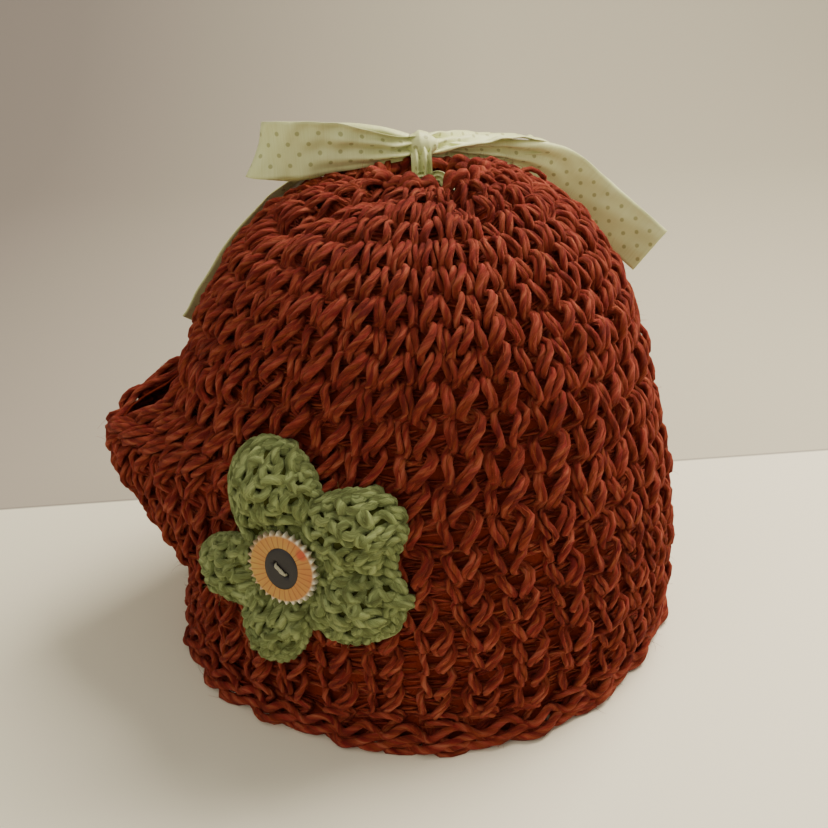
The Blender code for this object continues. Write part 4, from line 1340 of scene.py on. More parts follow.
@dataclass
class GapStrands:
    """Thin loose strands behind the loops, which lie across the gaps, mostly along the rows."""

    panel: Panel
    wool: Material
    count: int
    seed: int
    half_width: float = 0.55 * MM
    length: Pair = (7.0 * MM, 14.0 * MM)
    depth: Pair = (2.9 * MM, 4.0 * MM)  # how far below the outer face they lie
    steps: int = 4

    def build(self) -> Piece:
        """Lay the strands.

        A strand runs straight round the shell and up it by the cosine and the sine of its slant,
        and bows out from the cloth by half a sine.

        Returns:
            The piece.
        """
        rng = np.random.default_rng(self.seed)
        size = (self.count, 1)
        rise = rng.uniform(0.03, 0.96, size)
        start, end = self.panel.ends(rise, self.panel.edge_room)
        angle = start + (end - start) * rng.uniform(0.01, 0.99, size)
        slant = rng.normal(0.05, 0.22, size)
        run = rng.uniform(*self.length, size) * np.linspace(-0.5, 0.5, self.steps)
        reach = np.linalg.norm(self.panel.shell.smooth(angle, rise)[..., :2], axis=-1)
        angle = np.clip(angle + run * np.cos(slant) / reach, start, end)
        rise = np.clip(rise + run * np.sin(slant) / self.panel.shell.meridian, 0.02, 0.98)
        bow = rng.uniform(-0.2, 0.6, size) * np.sin(math.pi * np.linspace(0, 1, self.steps)) * MM
        points = self.panel.shell.face(angle, rise, bow - rng.uniform(*self.depth, size))
        away = unit(self.panel.shell.outward(angle, rise) + 0.3 * rng.normal(size=(self.count, 1, 3)))
        wide = self.half_width * rng.uniform(0.6, 1.4, size)
        return make_piece(f"{self.panel.name}_gap_strands", flat_strands(points, away, wide),
                          self.wool)


# ---- flower
@dataclass(frozen=True)
class Lobe:
    """One lobe of the flower: an oval that reaches out from its middle."""

    direction: int  # degrees from the flower's right
    reach: float  # mm to its tip
    width: float  # mm
    puff: float  # mm that it stands up

    def turn(self) -> float:
        """Give its direction in radians."""
        return math.radians(self.direction)

    def oval(self) -> Triple:
        """Give how far out the oval's middle lies, half its length and half its width."""
        return 0.56 * self.reach * MM, 0.44 * self.reach * MM, self.width * MM / 2


@dataclass
class Flower:
    """A moss-stitch flower of five puffy lobes, gathered at its middle and sewn on flat."""

    wool: Material
    # the inner layer's material, dark as painted shade in the gaps
    bed: Material
    shell: Shell = SHELL
    yarn: Yarn = Yarn(radius=1.42 * MM, sides=9, plies=2, relief=0.07, ply_pitch=7.0 * MM)
    cord: Yarn = Yarn(radius=1.45 * MM, sides=9, plies=2, relief=0.07, ply_pitch=7.0 * MM)
    direction: float = -118.0  # degrees round the pot
    rise: float = 0.329
    base: float = 4.2 * MM
    seat: float = 12.6 * MM  # the flat middle that carries the button
    rim: float = 2.2 * MM
    lift: float = 0.5 * MM
    web: float = 4.0 * MM
    spread: float = 27.0
    merge: int = 9
    lobes: tuple[Lobe, ...] = (
        Lobe(105, 39, 32, 8.5), Lobe(31, 39.2, 25.5, 7.5), Lobe(-24, 36, 32, 6.5),
        Lobe(-106, 39, 22, 6.5), Lobe(-159, 39.4, 22, 5.5),
    )
    crease: tuple = ((15.0, 4.0), (38.0, -4.0))  # mm: the ends of the deepest crease
    crease_depth: float = 3.0 * MM
    stitch: float = 5.6 * MM
    row: float = 4.3 * MM
    depth: float = 1.45 * MM
    points: int = 14
    first_row: float = 7.5 * MM  # how far out the first row lies, under the button
    wedge: float = math.radians(38)  # half the angle that a lobe's rows fill near the middle
    narrowest: float = 2.4 * MM  # half the length of the shortest row
    bulge: float = 0.17  # stitches by which a loop is wider than its cell
    hook: float = 0.75 * MM  # how far rows reach into their neighbours
    droop: float = 1.6 * MM  # how far a row's ends bend back towards the middle
    cord_in: float = 2.0 * MM  # the bound rim's middle, inside the outline
    cord_swing: Pair = (1.15 * MM, 0.85 * MM)  # its strands', outwards and up
    cord_points: int = 11  # along each of its stitches
    lines: list[YarnLine] = field(default_factory=list)

    def at(self, across: Array, up: Array, lift: Array) -> Array:
        """Give points to the side and up from the flower's middle, and off the knit."""
        direction, step = math.radians(self.direction), 0.01
        onward = (self.shell.smooth(direction + step, self.rise)
                  - self.shell.smooth(direction - step, self.rise))
        climb = (self.shell.smooth(direction, self.rise + step)
                 - self.shell.smooth(direction, self.rise - step))
        per_radian = np.linalg.norm(onward) / (2 * step)
        per_rise = np.linalg.norm(climb) / (2 * step)
        angle, rise = direction + across / per_radian, self.rise + up / per_rise
        return self.shell.smooth(angle, rise) + self.shell.outward(angle, rise) * lift[..., None]

    def outward(self, across: Array, up: Array) -> Array:
        """Give the domed top's unit normals: the cross product of its two slopes."""
        step = 0.4 * MM
        a = self.on_top(across + step, up) - self.on_top(across - step, up)
        b = self.on_top(across, up + step) - self.on_top(across, up - step)
        return unit(np.cross(a, b))

    def outline(self, turn: Array) -> Array:
        """Give how far the flower reaches each way: five overlapping ovals, softly merged."""
        total = np.full_like(turn, (self.seat + self.web) ** self.merge)
        for lobe in self.lobes:
            middle, half_long, half_wide = lobe.oval()
            t = turn_between(turn, lobe.turn())
            a = (np.cos(t) / half_long) ** 2 + (np.sin(t) / half_wide) ** 2
            b = middle * np.cos(t) / half_long**2
            c = (middle / half_long) ** 2 - 1
            root = b * b - a * c
            far = np.where((root > 0) & (b > 0), (b + np.sqrt(np.maximum(root, 0))) / a, 0.0)
            total = total + far**self.merge
        return total ** (1 / self.merge)

    def top(self, across: Array, up: Array) -> Array:
        """Give how high the flower stands: a flat seat, then a dome along each lobe.

        The dome is sin(pi b^0.85)^0.7 (1 - b^8), with b the share of the way from the seat to
        the rim, times a bell curve across each lobe.
        """
        turn, distance = np.arctan2(up, across), np.hypot(across, up)
        reach = self.outline(turn)
        puff = np.zeros_like(turn)
        for lobe in self.lobes:
            off = np.degrees(turn_between(turn, lobe.turn())) / self.spread
            puff = np.maximum(puff, lobe.puff * MM * bell(off))
        beyond = np.clip((distance - self.seat) / (reach - self.seat), 0.0, 1.0)
        dome = np.sin(math.pi * beyond**0.85) ** 0.7 * (1 - beyond**8)
        start, end = np.array(self.crease) * MM
        run = end - start
        share = ((across - start[0]) * run[0] + (up - start[1]) * run[1]) / (run @ run)
        near = np.clip(share, 0, 1)
        off = np.hypot(across - start[0] - near * run[0], up - start[1] - near * run[1]) / (1.6 * MM)
        fold = self.crease_depth * bell(off) * smooth_step(near, 0.0, 0.4)
        height = self.base + puff * dome - fold * (1 - 0.6 * beyond**6)
        return height - (self.base - self.rim) * smooth_step(beyond, 0.6, 0.4)

    def on_top(self, across: Array, up: Array, lift: Array | float = 0.0) -> Array:
        """Give points of the domed top, raised by lift."""
        return self.at(across, up, self.top(across, up) + self.lift + lift)

    def moss_row(self, lobe: Lobe, number: int, out_by: float) -> Patch | None:
        """Knit one row across a lobe.

        The loops' formula, with knit and purl taking turns along the row and from row to row:
        the outward part is -d s cos(4 pi w), and s swings smoothly between 1 and -1.

        Args:
            lobe: The lobe.
            number: The row's number, which shifts knit and purl.
            out_by: How far from the flower's middle the row lies.

        Returns:
            The row, or nothing where the lobe is too narrow.
        """
        middle, half_long, half_wide = lobe.oval()
        oval = half_wide * math.sqrt(max(1 - ((out_by - middle) / half_long) ** 2, 0.0))
        if out_by < middle:
            oval = half_wide
        half = min(oval, out_by * math.tan(self.wedge) + 1.0 * MM) - 0.9 * MM
        if half < self.narrowest:
            return None
        n = max(round(2 * half / self.stitch), 2)
        w = np.linspace(0, n, n * self.points + 1)
        seed = lobe.direction + 500

        def wander(size: float, shift: int) -> Array:
            """Read one kind of unevenness along the row."""
            return Wander(size, seed + shift, 3.0, 1.0).at(w, np.full_like(w, number))

        sign = np.clip(1.5 * np.sin(math.pi * (w + number)), -1, 1)
        along = (w + self.bulge * np.sin(2 * TURN * w) + wander(0.10, 1)) / n * 2 - 1
        swing = (self.row / 2 + self.hook) * (1 + wander(0.12, 2))
        v = out_by - swing * np.cos(TURN * w) + wander(0.3 * MM, 3) - self.droop * along**2
        u = along * half
        theta = lobe.turn()
        across = v * math.cos(theta) - u * math.sin(theta)
        up = v * math.sin(theta) + u * math.cos(theta)
        lift = -self.yarn.radius - sign * self.depth * np.cos(2 * TURN * w) + wander(0.25 * MM, 4)
        path, normal = self.on_top(across, up, lift), self.outward(across, up)
        self.lines.append((path, normal, np.full(len(path), self.yarn.radius)))
        return self.yarn.sweep(path, normal, 0.21 * number + seed, 1 + wander(0.06, 5))

    def edge(self) -> Patch:
        """Bind the rim: two strands circle each other along the outline, one turn a stitch."""
        turn = around(3000)
        reach = self.outline(turn)
        length = lengths_along(np.stack((reach * np.cos(turn), reach * np.sin(turn)), axis=1))
        waves = round(length[-1] / (1.05 * self.stitch))
        count = self.cord_points * waves
        even = np.interp(np.linspace(0, length[-1], count, endpoint=False), length, turn)
        stitches = np.arange(count) / self.cord_points
        outwards, upwards = self.cord_swing
        strands = []
        for number in range(2):
            loose = Wander(0.6, 77 + number, 9.0, 3.0).at(stitches, 0.0)
            phase = TURN * stitches + math.pi * number + loose
            distance = self.outline(even) - self.cord_in + outwards * np.cos(phase)
            across, up = distance * np.cos(even), distance * np.sin(even)
            height = self.lift + 0.62 * self.top(across, up) + 0.5 * MM + upwards * np.sin(phase)
            path = self.at(across, up, height)
            normal = self.shell.outward(np.full(len(even), math.radians(self.direction)),
                                        np.full(len(even), self.rise))
            strands.append(self.cord.sweep(path, normal, number, closed=True))
            self.lines.append((path, normal, np.full(len(path), self.cord.radius)))
        return join(strands)

    def yarn_end(self) -> Patch:
        """Leave the short end of yarn that stands out where the flower was finished off."""
        t = np.linspace(0, 1, 14)
        across = (28 + 7.4 * t) * MM
        up = (-7.5 - 1.5 * t) * MM
        path = self.at(across, up, (6.5 - 2.0 * t) * MM)
        return self.yarn.sweep(path, np.tile((0.0, 0.0, 1.0), (14, 1)), 3.3, 1.0 - 0.5 * t**3)

    def ground(self) -> Patch:
        """Lay the knit's inner layer just under the stitches, closed underneath, in the dark
        painted-shade material.
        """
        turn = around(120)[None, :]
        share = np.concatenate(([0.02], np.linspace(0.12, 1, 22)))[:, None]
        distance = share * (self.outline(turn) - 1.4 * MM)
        across, up = distance * np.cos(turn), distance * np.sin(turn)
        upper = self.on_top(across, up, -1.9 * MM)
        lower = self.at(across, up, np.full_like(across, self.lift))
        uv = np.stack(np.broadcast_arrays(share, np.linspace(0, 1, 121)[None, :]), axis=-1)
        rows, sides = distance.shape
        count = rows * sides
        front, back = grid_patch(upper, uv, wrap=True, flip=True), grid_patch(lower, uv, wrap=True)
        low = count - sides + np.arange(sides)
        ahead = np.roll(low, -1)
        rim = np.stack((low, low + count, ahead + count, ahead), axis=1)
        quads = np.concatenate((front.quads, back.quads + count, rim))
        quad_uv = np.concatenate((front.quad_uv, back.quad_uv, np.zeros((sides, 4, 2))))
        points = np.concatenate((upper.reshape(-1, 3), lower.reshape(-1, 3),
                                 [upper[0].mean(axis=0), lower[0].mean(axis=0)]))
        tris = np.concatenate((fan(2 * count, 0, sides), fan(2 * count + 1, count, sides, back=True)))
        return Patch(points, quads, quad_uv, tris, np.zeros((2 * sides, 3, 2)))

    def build(self) -> None:
        """Make the flower's inner layer, its rows and its bound rim."""
        ground = make_piece("flower_shade_ground", self.ground(), self.bed)
        rows = []
        for lobe in self.lobes:
            places = np.arange(self.first_row, lobe.reach * MM - 2.6 * MM, self.row)
            rows += [self.moss_row(lobe, number, place) for number, place in enumerate(places)]
        stitches = make_piece("flower_moss_stitch", join([row for row in rows if row]), self.wool)
        rim = make_piece("flower_bound_rim", join([self.edge(), self.yarn_end()]), self.wool)
        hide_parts("flower")


@dataclass
class SunflowerButton:
    """A flat button cut out along its petals' tips, with an oval eye and two thread holes."""

    face: Material
    cotton: Material
    flower: Flower
    radius: float = 12.0 * MM
    thick: float = 2.4 * MM
    teeth: int = 30
    tooth: float = 1.35 * MM
    eye: Pair = (5.6 * MM, 6.7 * MM)
    eye_rise: float = 0.5 * MM
    hole: float = 0.75 * MM
    hole_depth: float = 1.1 * MM
    vein: float = 0.16 * MM  # how far a petal's middle stands up
    holes_apart: float = 4.6 * MM
    holes_turn: float = math.radians(-40)
    bevel: float = 0.25 * MM
    steps: int = 8  # points along each petal's tip
    thread: Yarn = Yarn(radius=0.36 * MM, sides=8, plies=2, relief=0.15, ply_pitch=2.0 * MM)

    def frame(self) -> tuple[Array, Array, Array, Array]:
        """Give the button's underside's middle and its directions: side, up and outwards."""
        direction, rise = math.radians(self.flower.direction), self.flower.rise
        out = self.flower.shell.outward(direction, rise)
        middle = self.flower.shell.smooth(direction, rise) + out * (
            self.flower.lift + self.flower.base + 0.3 * MM)
        side = unit(np.cross((0.0, 0.0, 1.0), out))
        return middle, side, np.cross(out, side), out

    def disc(self) -> Patch:
        """Shape the button as rings from its underside round its edge to the eye's middle.

        The outline is radius - tooth |sin(teeth a / 2)|^0.8, so a petal ends in a point; each petal
        is raised along its middle, and the two thread holes are round dips.
        """
        turn = around(self.teeth * self.steps)
        wave = np.abs(np.sin(self.teeth * turn / 2))
        rim = self.radius - self.tooth * wave**0.8
        eye = 1 / np.sqrt((np.cos(turn) / self.eye[0]) ** 2 + (np.sin(turn) / self.eye[1]) ** 2)
        petal = np.linspace(1, 0.02, 14)[:, None]  # shares of the way from eye to rim
        inner = np.array((1.0, 0.985, *np.arange(92, 2, -10) / 100, 0.03))[:, None]
        radii = np.vstack((0.02 * rim, rim - self.bevel, rim, rim,
                           eye + (rim - self.bevel - eye) * petal, eye * inner))
        top = self.thick - self.bevel
        vein = self.vein * (1 - wave) * smooth_step(petal, 0.0, 0.35) * (1 - 0.5 * petal)
        crown = np.minimum(1.0, 0.25 + 3 * np.linspace(0, 1, len(inner)))[:, None]
        flat = np.zeros_like(turn)
        heights = np.vstack((flat, flat, flat + self.bevel, flat + top - self.bevel, top + vein,
                             flat + top + self.eye_rise * crown))
        x, y = radii * np.cos(turn), radii * np.sin(turn)
        for way in (-1, 1):
            hole_x = way * self.holes_apart / 2 * math.cos(self.holes_turn)
            hole_y = way * self.holes_apart / 2 * math.sin(self.holes_turn)
            away = np.hypot(x - hole_x, y - hole_y) / self.hole
            dip = self.hole_depth * smooth_step(1.6 - away)
            heights = heights - np.where(heights > top - 0.01 * MM, dip, 0.0)
        middle, side, up, out = self.frame()
        points = middle + x[..., None] * side + y[..., None] * up + heights[..., None] * out
        share = radii / self.radius
        share[-len(inner):] = -1.0  # which tells the print it is the eye
        share = np.concatenate((share, share[:, :1]), axis=1)
        turns = np.broadcast_to(np.linspace(0, 1, share.shape[1]), share.shape)
        patch = grid_patch(points, np.stack((share, turns), axis=-1), wrap=True)
        return close_ends(patch, (points[0].mean(axis=0), points[-1].mean(axis=0)), len(turn),
                          ((0.1, -1.0), (-1.0, -1.0)), back=True)

    def stitch(self) -> Patch:
        """Sew the thread from one hole over into the other, twice."""
        middle, side, up, out = self.frame()
        way = math.cos(self.holes_turn) * side + math.sin(self.holes_turn) * up
        square = np.cross(out, way)
        t = np.linspace(-1, 1, 25)
        strands = []
        for number in (-1, 1):
            x = self.holes_apart / 2 * t
            h = self.thick + self.eye_rise - 0.25 * MM + 0.42 * MM * (1 - t**8) - 0.5 * MM * t**12
            path = (middle + x[:, None] * way + h[:, None] * out
                    + (number * 0.3 * MM * (1 - 0.6 * t**2))[:, None] * square)
            strands.append(self.thread.sweep(path, np.tile(out, (25, 1)), 0.4 * number))
        return join(strands)

    def build(self) -> None:
        """Make the button and the thread that holds it."""
        button = make_piece("sunflower_button", self.disc(), self.face)
        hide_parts("button")
        make_piece("button_thread", self.stitch(), self.cotton)


# ---- ribbon
@dataclass
class RibbonBow:
    """One satin ribbon: a band drawn up inside the neck, a knot, two loops and two cut tails."""

    satin: Material
    shell: Shell = SHELL
    cloth: float = 18.7 * MM  # the ribbon's own width, however it is folded
    thick: float = 0.40 * MM
    pleats: float = 2.5
    deepest_pleat: float = 1.3 * MM
    points: int = 17  # across the ribbon
    knot_at: Triple = (2.0, 19.5, 167.0)
    knot_size: Triple = (12.0, 9.0, 9.0)
    band_at: Triple = (4.0, 0.0, 157.6)
    band_radius: float = 13.2 * MM
    band_height: float = 4.4 * MM
    loop_left: tuple = (  # x, y, z and width in mm, then the way across it
        (1, 18, 167, 7, 0, 0, 1),
        (-6, 13.5, 167.2, 9, 0, -0.1, 1),
        (-14, 11, 168.4, 12, 0, -0.1, 1),
        (-26, 9.5, 169.7, 16.8, 0.05, -0.1, 1),
        (-39, 9.3, 169.8, 18.7, 0.1, -0.05, 1),
        (-49.5, 11, 169.6, 18.7, 0.3, 0, 1),
        (-53.5, 15.5, 169, 18.7, 0.4, 0.1, 1),
        (-50, 20.5, 167, 18.7, 0.3, 0.1, 1),
        (-40, 24, 165.2, 18.5, 0.15, 0.1, 1),
        (-28, 25.5, 166.4, 16.5, 0.1, 0.1, 1),
        (-14, 23.5, 167.6, 12, 0, 0, 1),
        (-2, 20.5, 167, 7, 0, 0, 1),
    )
    loop_right: tuple = (
        (4, 20, 167, 7, 0, 0.3, 0.95),
        (13, 27, 166.3, 10, -0.2, 0.8, 0.4),
        (23, 36, 164.6, 15, -0.35, 0.93, 0),
        (34, 43, 163, 18, -0.3, 0.94, -0.12),
        (43, 47, 160.8, 19, -0.3, 0.94, -0.15),
        (46.5, 49, 157.8, 19, -0.3, 0.94, -0.2),
        (42, 48, 155.2, 19, -0.3, 0.92, -0.25),
        (32, 45.5, 154.8, 17, -0.3, 0.90, -0.3),
        (20, 38, 157.8, 12, -0.3, 0.90, -0.2),
        (8, 25, 164, 7, 0, 0.6, 0.6),
        (3, 21, 166, 6, 0, 0.3, 0.9),
    )
    tail_right: tuple = (
        (4, 20.5, 166, 6, 0, -0.2, 1),
        (11, 25.5, 164, 6, 0, -0.2, 1),
        (20, 31.5, 161.2, 7, 0, -0.25, 1),
        (32, 37, 158.4, 10.5, 0.05, -0.25, 1),
        (44, 40, 154.6, 15.5, 0.2, -0.28, 0.95),
        (54, 42.5, 148.6, 18.5, 0.45, -0.2, 0.85),
        (62.5, 41, 141, 18.7, 0.6, -0.15, 0.78),
        (73, 35.5, 132, 18.7, 0.62, -0.12, 0.78),
        (84, 27.5, 122.6, 18.7, 0.62, -0.1, 0.78),
    )
    tail_left: tuple = (  # degrees round, rise, mm of lift and width, tilt
        (100, 0.960, 4.6, 7, 5),
        (121, 0.895, 3.4, 12, 4),
        (133, 0.825, 3, 17.5, 3),
        (142, 0.745, 3, 18.7, 5),
        (150, 0.665, 3.2, 18.7, 8),
        (156, 0.585, 3.8, 18.7, 12),
        (161, 0.510, 4.4, 18.7, 16),
    )

    def strip(self, middle: Array, across: Array, width: Array, crown: float, seed: int) -> Patch:
        """Lay the ribbon along a middle line, pleated where it is drawn narrower than it is.

        Across it, the cloth bows by crown (1 - 4 s s) of its width and waves by
        A cos(2 pi pleats s), where A takes up the width that the narrowing leaves over.

        Args:
            middle: The middle line.
            across: The direction across the ribbon at each point.
            width: How wide it is drawn at each point.
            crown: How far it bows, as a share of its width.
            seed: For its slight unevenness.

        Returns:
            The ribbon as a closed sheet.
        """
        run = unit(np.gradient(middle, axis=0))
        across = unit(across - run * np.sum(across * run, axis=1, keepdims=True))
        face = np.cross(run, across)
        share = np.linspace(-0.5, 0.5, self.points)
        length = lengths_along(middle)
        spare = np.sqrt(np.maximum(self.cloth / width - 1, 0.0))
        wave = np.minimum(width / (math.pi * self.pleats) * spare, self.deepest_pleat)
        loose = Wander(0.28 * MM, seed, 26.0, 7.0, 6).at(length[:, None] / MM, share[None, :] * 19)
        off = (crown * (1 - 4 * share**2) * width[:, None]
               + wave[:, None] * np.cos(TURN * self.pleats * share + 0.6) + loose)
        centre = (middle[:, None] + across[:, None] * (width[:, None] * share)[..., None]
                  + face[:, None] * off[..., None])
        half = face[:, None] * self.thick / 2
        uv = np.stack(np.broadcast_arrays(length[:, None], (share * self.cloth)[None, :]), axis=-1)
        return wall_patch(centre - half, centre + half, uv)

    def free(self, table: tuple, steps: int, seed: int) -> Patch:
        """Lay a loop or a free tail from its table of places, widths and directions."""
        rows = along_rows(np.array(table, float), steps)
        return self.strip(rows[:, :3] * MM, rows[:, 4:], rows[:, 3] * MM, 0.03, seed)

    def lying(self, table: tuple, steps: int, seed: int) -> Patch:
        """Lay the tail that rests on the knit, its edge on the neck's side standing away."""
        direction, rise, lift, width, stand = along_rows(np.array(table, float), steps).T
        angle, rise = np.radians(direction), np.clip(rise, 0.0, 1.0)
        out = self.shell.outward(angle, rise)
        middle = self.shell.smooth(angle, rise) + out * (lift * MM)[:, None]
        run = unit(np.gradient(middle, axis=0))
        neckward = unit(self.shell.smooth(angle, np.clip(rise + 0.01, 0, 1))
                        - self.shell.smooth(angle, rise))
        flat = unit(neckward - run * np.sum(neckward * run, axis=1, keepdims=True))
        tilt = np.radians(stand)[:, None]
        return self.strip(middle, flat * np.cos(tilt) + out * np.sin(tilt), width * MM, 0.02, seed)

    def band(self) -> Patch:
        """Draw the ribbon up in a hoop inside the neck, dipping with the knit's folds."""
        turn = np.linspace(0, TURN, 181)
        radial = np.stack((np.cos(turn), np.sin(turn), 0 * turn), axis=1)
        dip = self.shell.fold_depth(turn, np.full_like(turn, 0.97))
        centre = np.array(self.band_at) * MM + radial * self.band_radius
        centre[:, 2] -= 0.9 * dip
        across = np.tile((0.0, 0.0, 1.0), (len(turn), 1))
        return self.strip(centre, across, np.full(len(turn), self.band_height), 0.0, 5)

    def tie(self) -> Patch:
        """Carry the ribbon from the band's back up over the neck's edge into the knot."""
        x, y, z = self.knot_at
        inside = self.band_at[1] + self.band_radius / MM
        rows = np.array(((x, inside, 157.4), (x, inside, 160.9), (x, inside + 0.3, z - 3.4),
                         (x, inside + 2.2, z - 1.0), (x, y, z - 0.6))) * MM
        middle = along_rows(rows, 40)
        across = np.tile((1.0, 0.0, 0.0), (len(middle), 1))
        return self.strip(middle, across, np.full(len(middle), 7.0 * MM), 0.0, 8)

    def knot(self) -> Patch:
        """Wrap the knot: a rounded lump with creases round it, drawn in at both ends.

        The lump is an ellipsoid whose two short radii are 1 + 0.12 cos(3.2 t) times as large at
        the tilt t from its waist, less creases 0.06 |sin(6 t + 0.5 sin turn)|.
        """
        tilt = np.linspace(0.02, math.pi - 0.02, 60)
        turn = around(64)
        lean = tilt[:, None] - math.pi / 2
        waist = 1 + 0.12 * np.cos(3.2 * lean) - 0.06 * np.abs(
            np.sin(6 * lean + 0.5 * np.sin(turn[None, :])))
        size = np.array(self.knot_size) * MM / 2
        points = np.stack((-np.cos(tilt)[:, None] * np.ones_like(waist),
                           np.sin(tilt)[:, None] * waist * np.cos(turn),
                           np.sin(tilt)[:, None] * waist * np.sin(turn)), axis=-1)
        points = points * size + np.array(self.knot_at) * MM
        uv = np.stack(np.broadcast_arrays(np.linspace(0, 28 * MM, 65)[None, :],
                                          (lean / 2 * self.cloth * 0.6)), axis=-1)
        patch = grid_patch(points, uv, wrap=True, flip=True)
        return close_ends(patch, (points[0].mean(axis=0), points[-1].mean(axis=0)), len(turn),
                          ((9.0 * MM, 9.0 * MM), (9.0 * MM, 9.0 * MM)))

    def build(self) -> None:
        """Make the ribbon as one piece."""
        lengths = [self.knot(), self.band(), self.tie(), self.free(self.loop_left, 150, 11),
                   self.free(self.loop_right, 130, 12), self.free(self.tail_right, 120, 13),
                   self.lying(self.tail_left, 110, 14)]
        ribbon = make_piece("satin_ribbon", join(lengths), self.satin)
        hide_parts("ribbon")


# ---- stage
@dataclass(frozen=True)
class PaleTable:
    """White laminate that ends just behind the cosy, and the pale grey beyond its edge."""

    name: str = "pale_laminate"
    table: str = "#f0ead2"
    beyond: str = "#c0b9a4"
    beyond_shaded_left: str = "#998f85"  # painted shade: the grey beyond the table's left end, darker as the light comes from the right
    line: str = "#77716a"
    edge_y: float = 83.0 * MM  # where the table's edge passes the middle
    slope: float = 0.0393  # how far it runs back for each metre to the right
    line_width: float = 1.1 * MM

    def build(self) -> Material:
        """Make the material: one colour before a straight line on the floor, one beyond it.

        Returns:
            The material.
        """
        material, put, shader = new_material(self.name)
        place = put("SeparateXYZ", put("TexCoord").outputs["Object"])
        across, back = place.outputs[0], place.outputs[1]
        past = put("Math SUBTRACT", put("Math SUBTRACT", back, self.edge_y),
                   put("Math MULTIPLY", across, self.slope))
        zone = put("MapRange", past, -0.0003, 0.0003)
        # painted shade: the grey beyond the edge darkens towards the left
        left_shade = put("MapRange", across, 0.10, -0.34)
        beyond = put("Mix RGBA", left_shade, linear(self.beyond), linear(self.beyond_shaded_left))
        ground = put("Mix RGBA", zone, linear(self.table), beyond)
        near = put("MapRange", put("Math ABSOLUTE", past), self.line_width / 2, self.line_width,
                   0.6, 0.0)
        feed(shader, Base_Color=put("Mix RGBA", near, ground, linear(self.line)), Roughness=0.6)
        return material


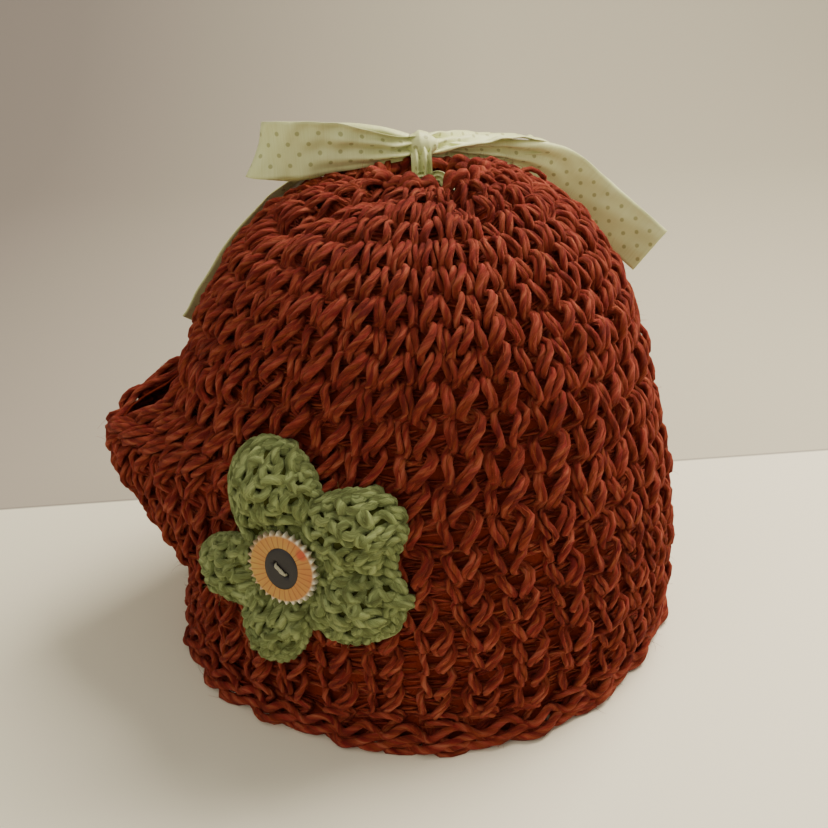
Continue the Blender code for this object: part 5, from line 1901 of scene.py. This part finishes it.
@dataclass
class Stage:
    """A pale table top, a pale wall behind it, soft light and the camera."""

    eye: Triple = (-5.0, -350.0, 250.0)  # mm from the pot's foot
    target: Triple = (-5.0, 0.0, 75.0)
    roll: float = 3.0  # degrees
    focal_share: float = 1084 / 828  # focal length by frame width
    sweep_at: float = 620.0  # where the floor starts to rise
    sweep_radius: float = 500.0

    def camera(self) -> None:
        """Stand the camera at its eye, looking at the target and rolled about its view."""
        eye, target = np.array(self.eye) * MM + POT, np.array(self.target) * MM + POT
        ahead = unit(target - eye)
        right = unit(np.cross(ahead, (0, 0, 1)))
        up = np.cross(right, ahead)
        roll = math.radians(self.roll)
        turned = (math.cos(roll) * right - math.sin(roll) * up,
                  math.sin(roll) * right + math.cos(roll) * up)
        lens = bpy.data.cameras.new("camera")
        lens.sensor_width = 36.0
        lens.lens = 36.0 * self.focal_share
        lens.clip_start, lens.clip_end = 0.01, 20.0
        bpy.context.scene.camera = link("camera", lens, (*turned, -ahead), eye)

    def backdrop(self) -> None:
        """Lay the table top, which sweeps up into the backdrop in a quarter circle."""
        turn = np.linspace(0, math.pi / 2, 25)
        y = np.concatenate(([-3000.0, 0.0, self.sweep_at / 2],
                            self.sweep_at + self.sweep_radius * np.sin(turn),
                            [self.sweep_at + self.sweep_radius]))
        z = np.concatenate(([0.0, 0.0, 0.0], self.sweep_radius * (1 - np.cos(turn)), [3000.0]))
        x = np.linspace(-3000, 3000, 9)
        points = np.stack(np.broadcast_arrays(x[None, :], y[:, None], z[:, None]), axis=-1) * MM
        patch = grid_patch(points, points[..., :2])
        mesh = bpy.data.meshes.new("table_and_backdrop")
        mesh.from_pydata(patch.points.tolist(), [], patch.quads.tolist())
        mesh.shade_smooth()
        mesh.materials.append(PaleTable().build())
        link("table_and_backdrop", mesh)

    def light(self, name: str, place: Triple, aim: Triple,
              size: float, power: float, colour: str) -> None:
        """Hang one square soft light.

        Args:
            name: Its name.
            place: Where it hangs, in metres.
            aim: What it faces.
            size: The side of its square, in metres.
            power: Watts.
            colour: sRGB hex.
        """
        lamp = bpy.data.lights.new(name, "AREA")
        lamp.size = size
        lamp.energy = power
        lamp.color = linear(colour)[:3]
        away = unit(np.array(place, float) - np.array(aim, float))
        side = unit(np.cross((0, 0, 1), away))
        link(name, lamp, (side, np.cross(away, side), away), place)

    def build(self) -> None:
        """Set the whole stage."""
        self.camera()
        self.backdrop()
        world = bpy.data.worlds.new("room")
        world.use_nodes = True
        world.node_tree.nodes["Background"].inputs[0].default_value = linear("#f2ede4")
        world.node_tree.nodes["Background"].inputs[1].default_value = 0.60
        bpy.context.scene.world = world
        self.light("window", (0.46, 0.34, 1.00), (0, 0, 0.08), 0.6, 16.4, "#fff6e8")
        self.light("window_ledge", (0.34, 0.08, 0.42), (0.05, 0, 0.16), 0.25, 1.7, "#fff4e4")
        self.light("room_fill", (-0.7, -0.9, 0.9), (0, 0, 0.08), 0.9, 4.0, "#fff3e2")


# ---- the whole
def main() -> None:
    """Build every sub-assembly in order."""
    logging.basicConfig(level=logging.INFO, format="%(message)s")
    rust = PliedWool("rust_plied_wool", "#b05843", "#97412c", "#802916", "#601608",
                     plies=2, ply_pitch=7.0 * MM, circumference=6.0 * MM).build()
    # painted highlight: a lighter copy of the rust wool for the tufts that stand proud of the yarn
    rust_tuft_lit = PliedWool("rust_wool_tufts_lit", "#bf654b", "#a54a32", "#822c1a", "#5a1608").build()
    # painted shade: a darker copy of the rust wool for the strands lying deep in the gaps
    rust_inner_shaded = PliedWool("rust_inner_strands_shaded", "#9c442d", "#8a3822", "#782612", "#5a1609",
                           plies=2, ply_pitch=5.0 * MM, circumference=2.0 * MM).build()
    # painted shade: the dark bed behind the rust stitches stands for the shade in the gaps
    rust_shade_bed = PaintedShadeBed("rust_painted_shade_bed", "#862f18", "#541608").build()
    green = PliedWool("moss_green_plied_wool", "#bcc58e", "#9fab6d", "#75804a", "#474d20",
                      plies=2, ply_pitch=7.0 * MM, circumference=8.6 * MM, streak_width=0.34 * MM,
                      streak_length=2.4 * MM, contrast=0.7).build()
    # painted shade: the dark layer under the flower's stitches stands for the shade in the gaps
    green_shade_bed = PaintedShadeBed("moss_green_painted_shade_bed", "#4c4f1e", "#2a2c0e").build()
    Stage().build()
    panels = [Panel(side, rust, rust_shade_bed, rust_inner_shaded) for side in Side]
    edges = Edges(rust)
    for sewn in (*panels, edges):
        sewn.build()
    every_line = [line for sewn in (*panels, edges) for line in sewn.lines]
    StrayFibres(rust, "rust_stray_fibres", "rust_yarn", 2400, 3).build(every_line)
    for panel in panels:
        SurfaceTufts(rust_tuft_lit, f"{panel.name}_rust_tufts", "rust_yarn", 4500, 5).build(panel.lines)
    flower = Flower(green, green_shade_bed)
    flower.build()
    StrayFibres(green, "green_stray_fibres", "green_yarn", 420, 4, (1.5 * MM, 4.0 * MM)).build(
        flower.lines)
    SurfaceTufts(green, "green_tufts", "green_yarn", 900, 6, 0.17 * MM, (1.5, 3.5)).build(
        flower.lines)
    SunflowerButton(PrintedButton().build(), CottonThread().build(), flower).build()
    RibbonBow(DottedSatin().build()).build()


if __name__ == "__main__":
    main()
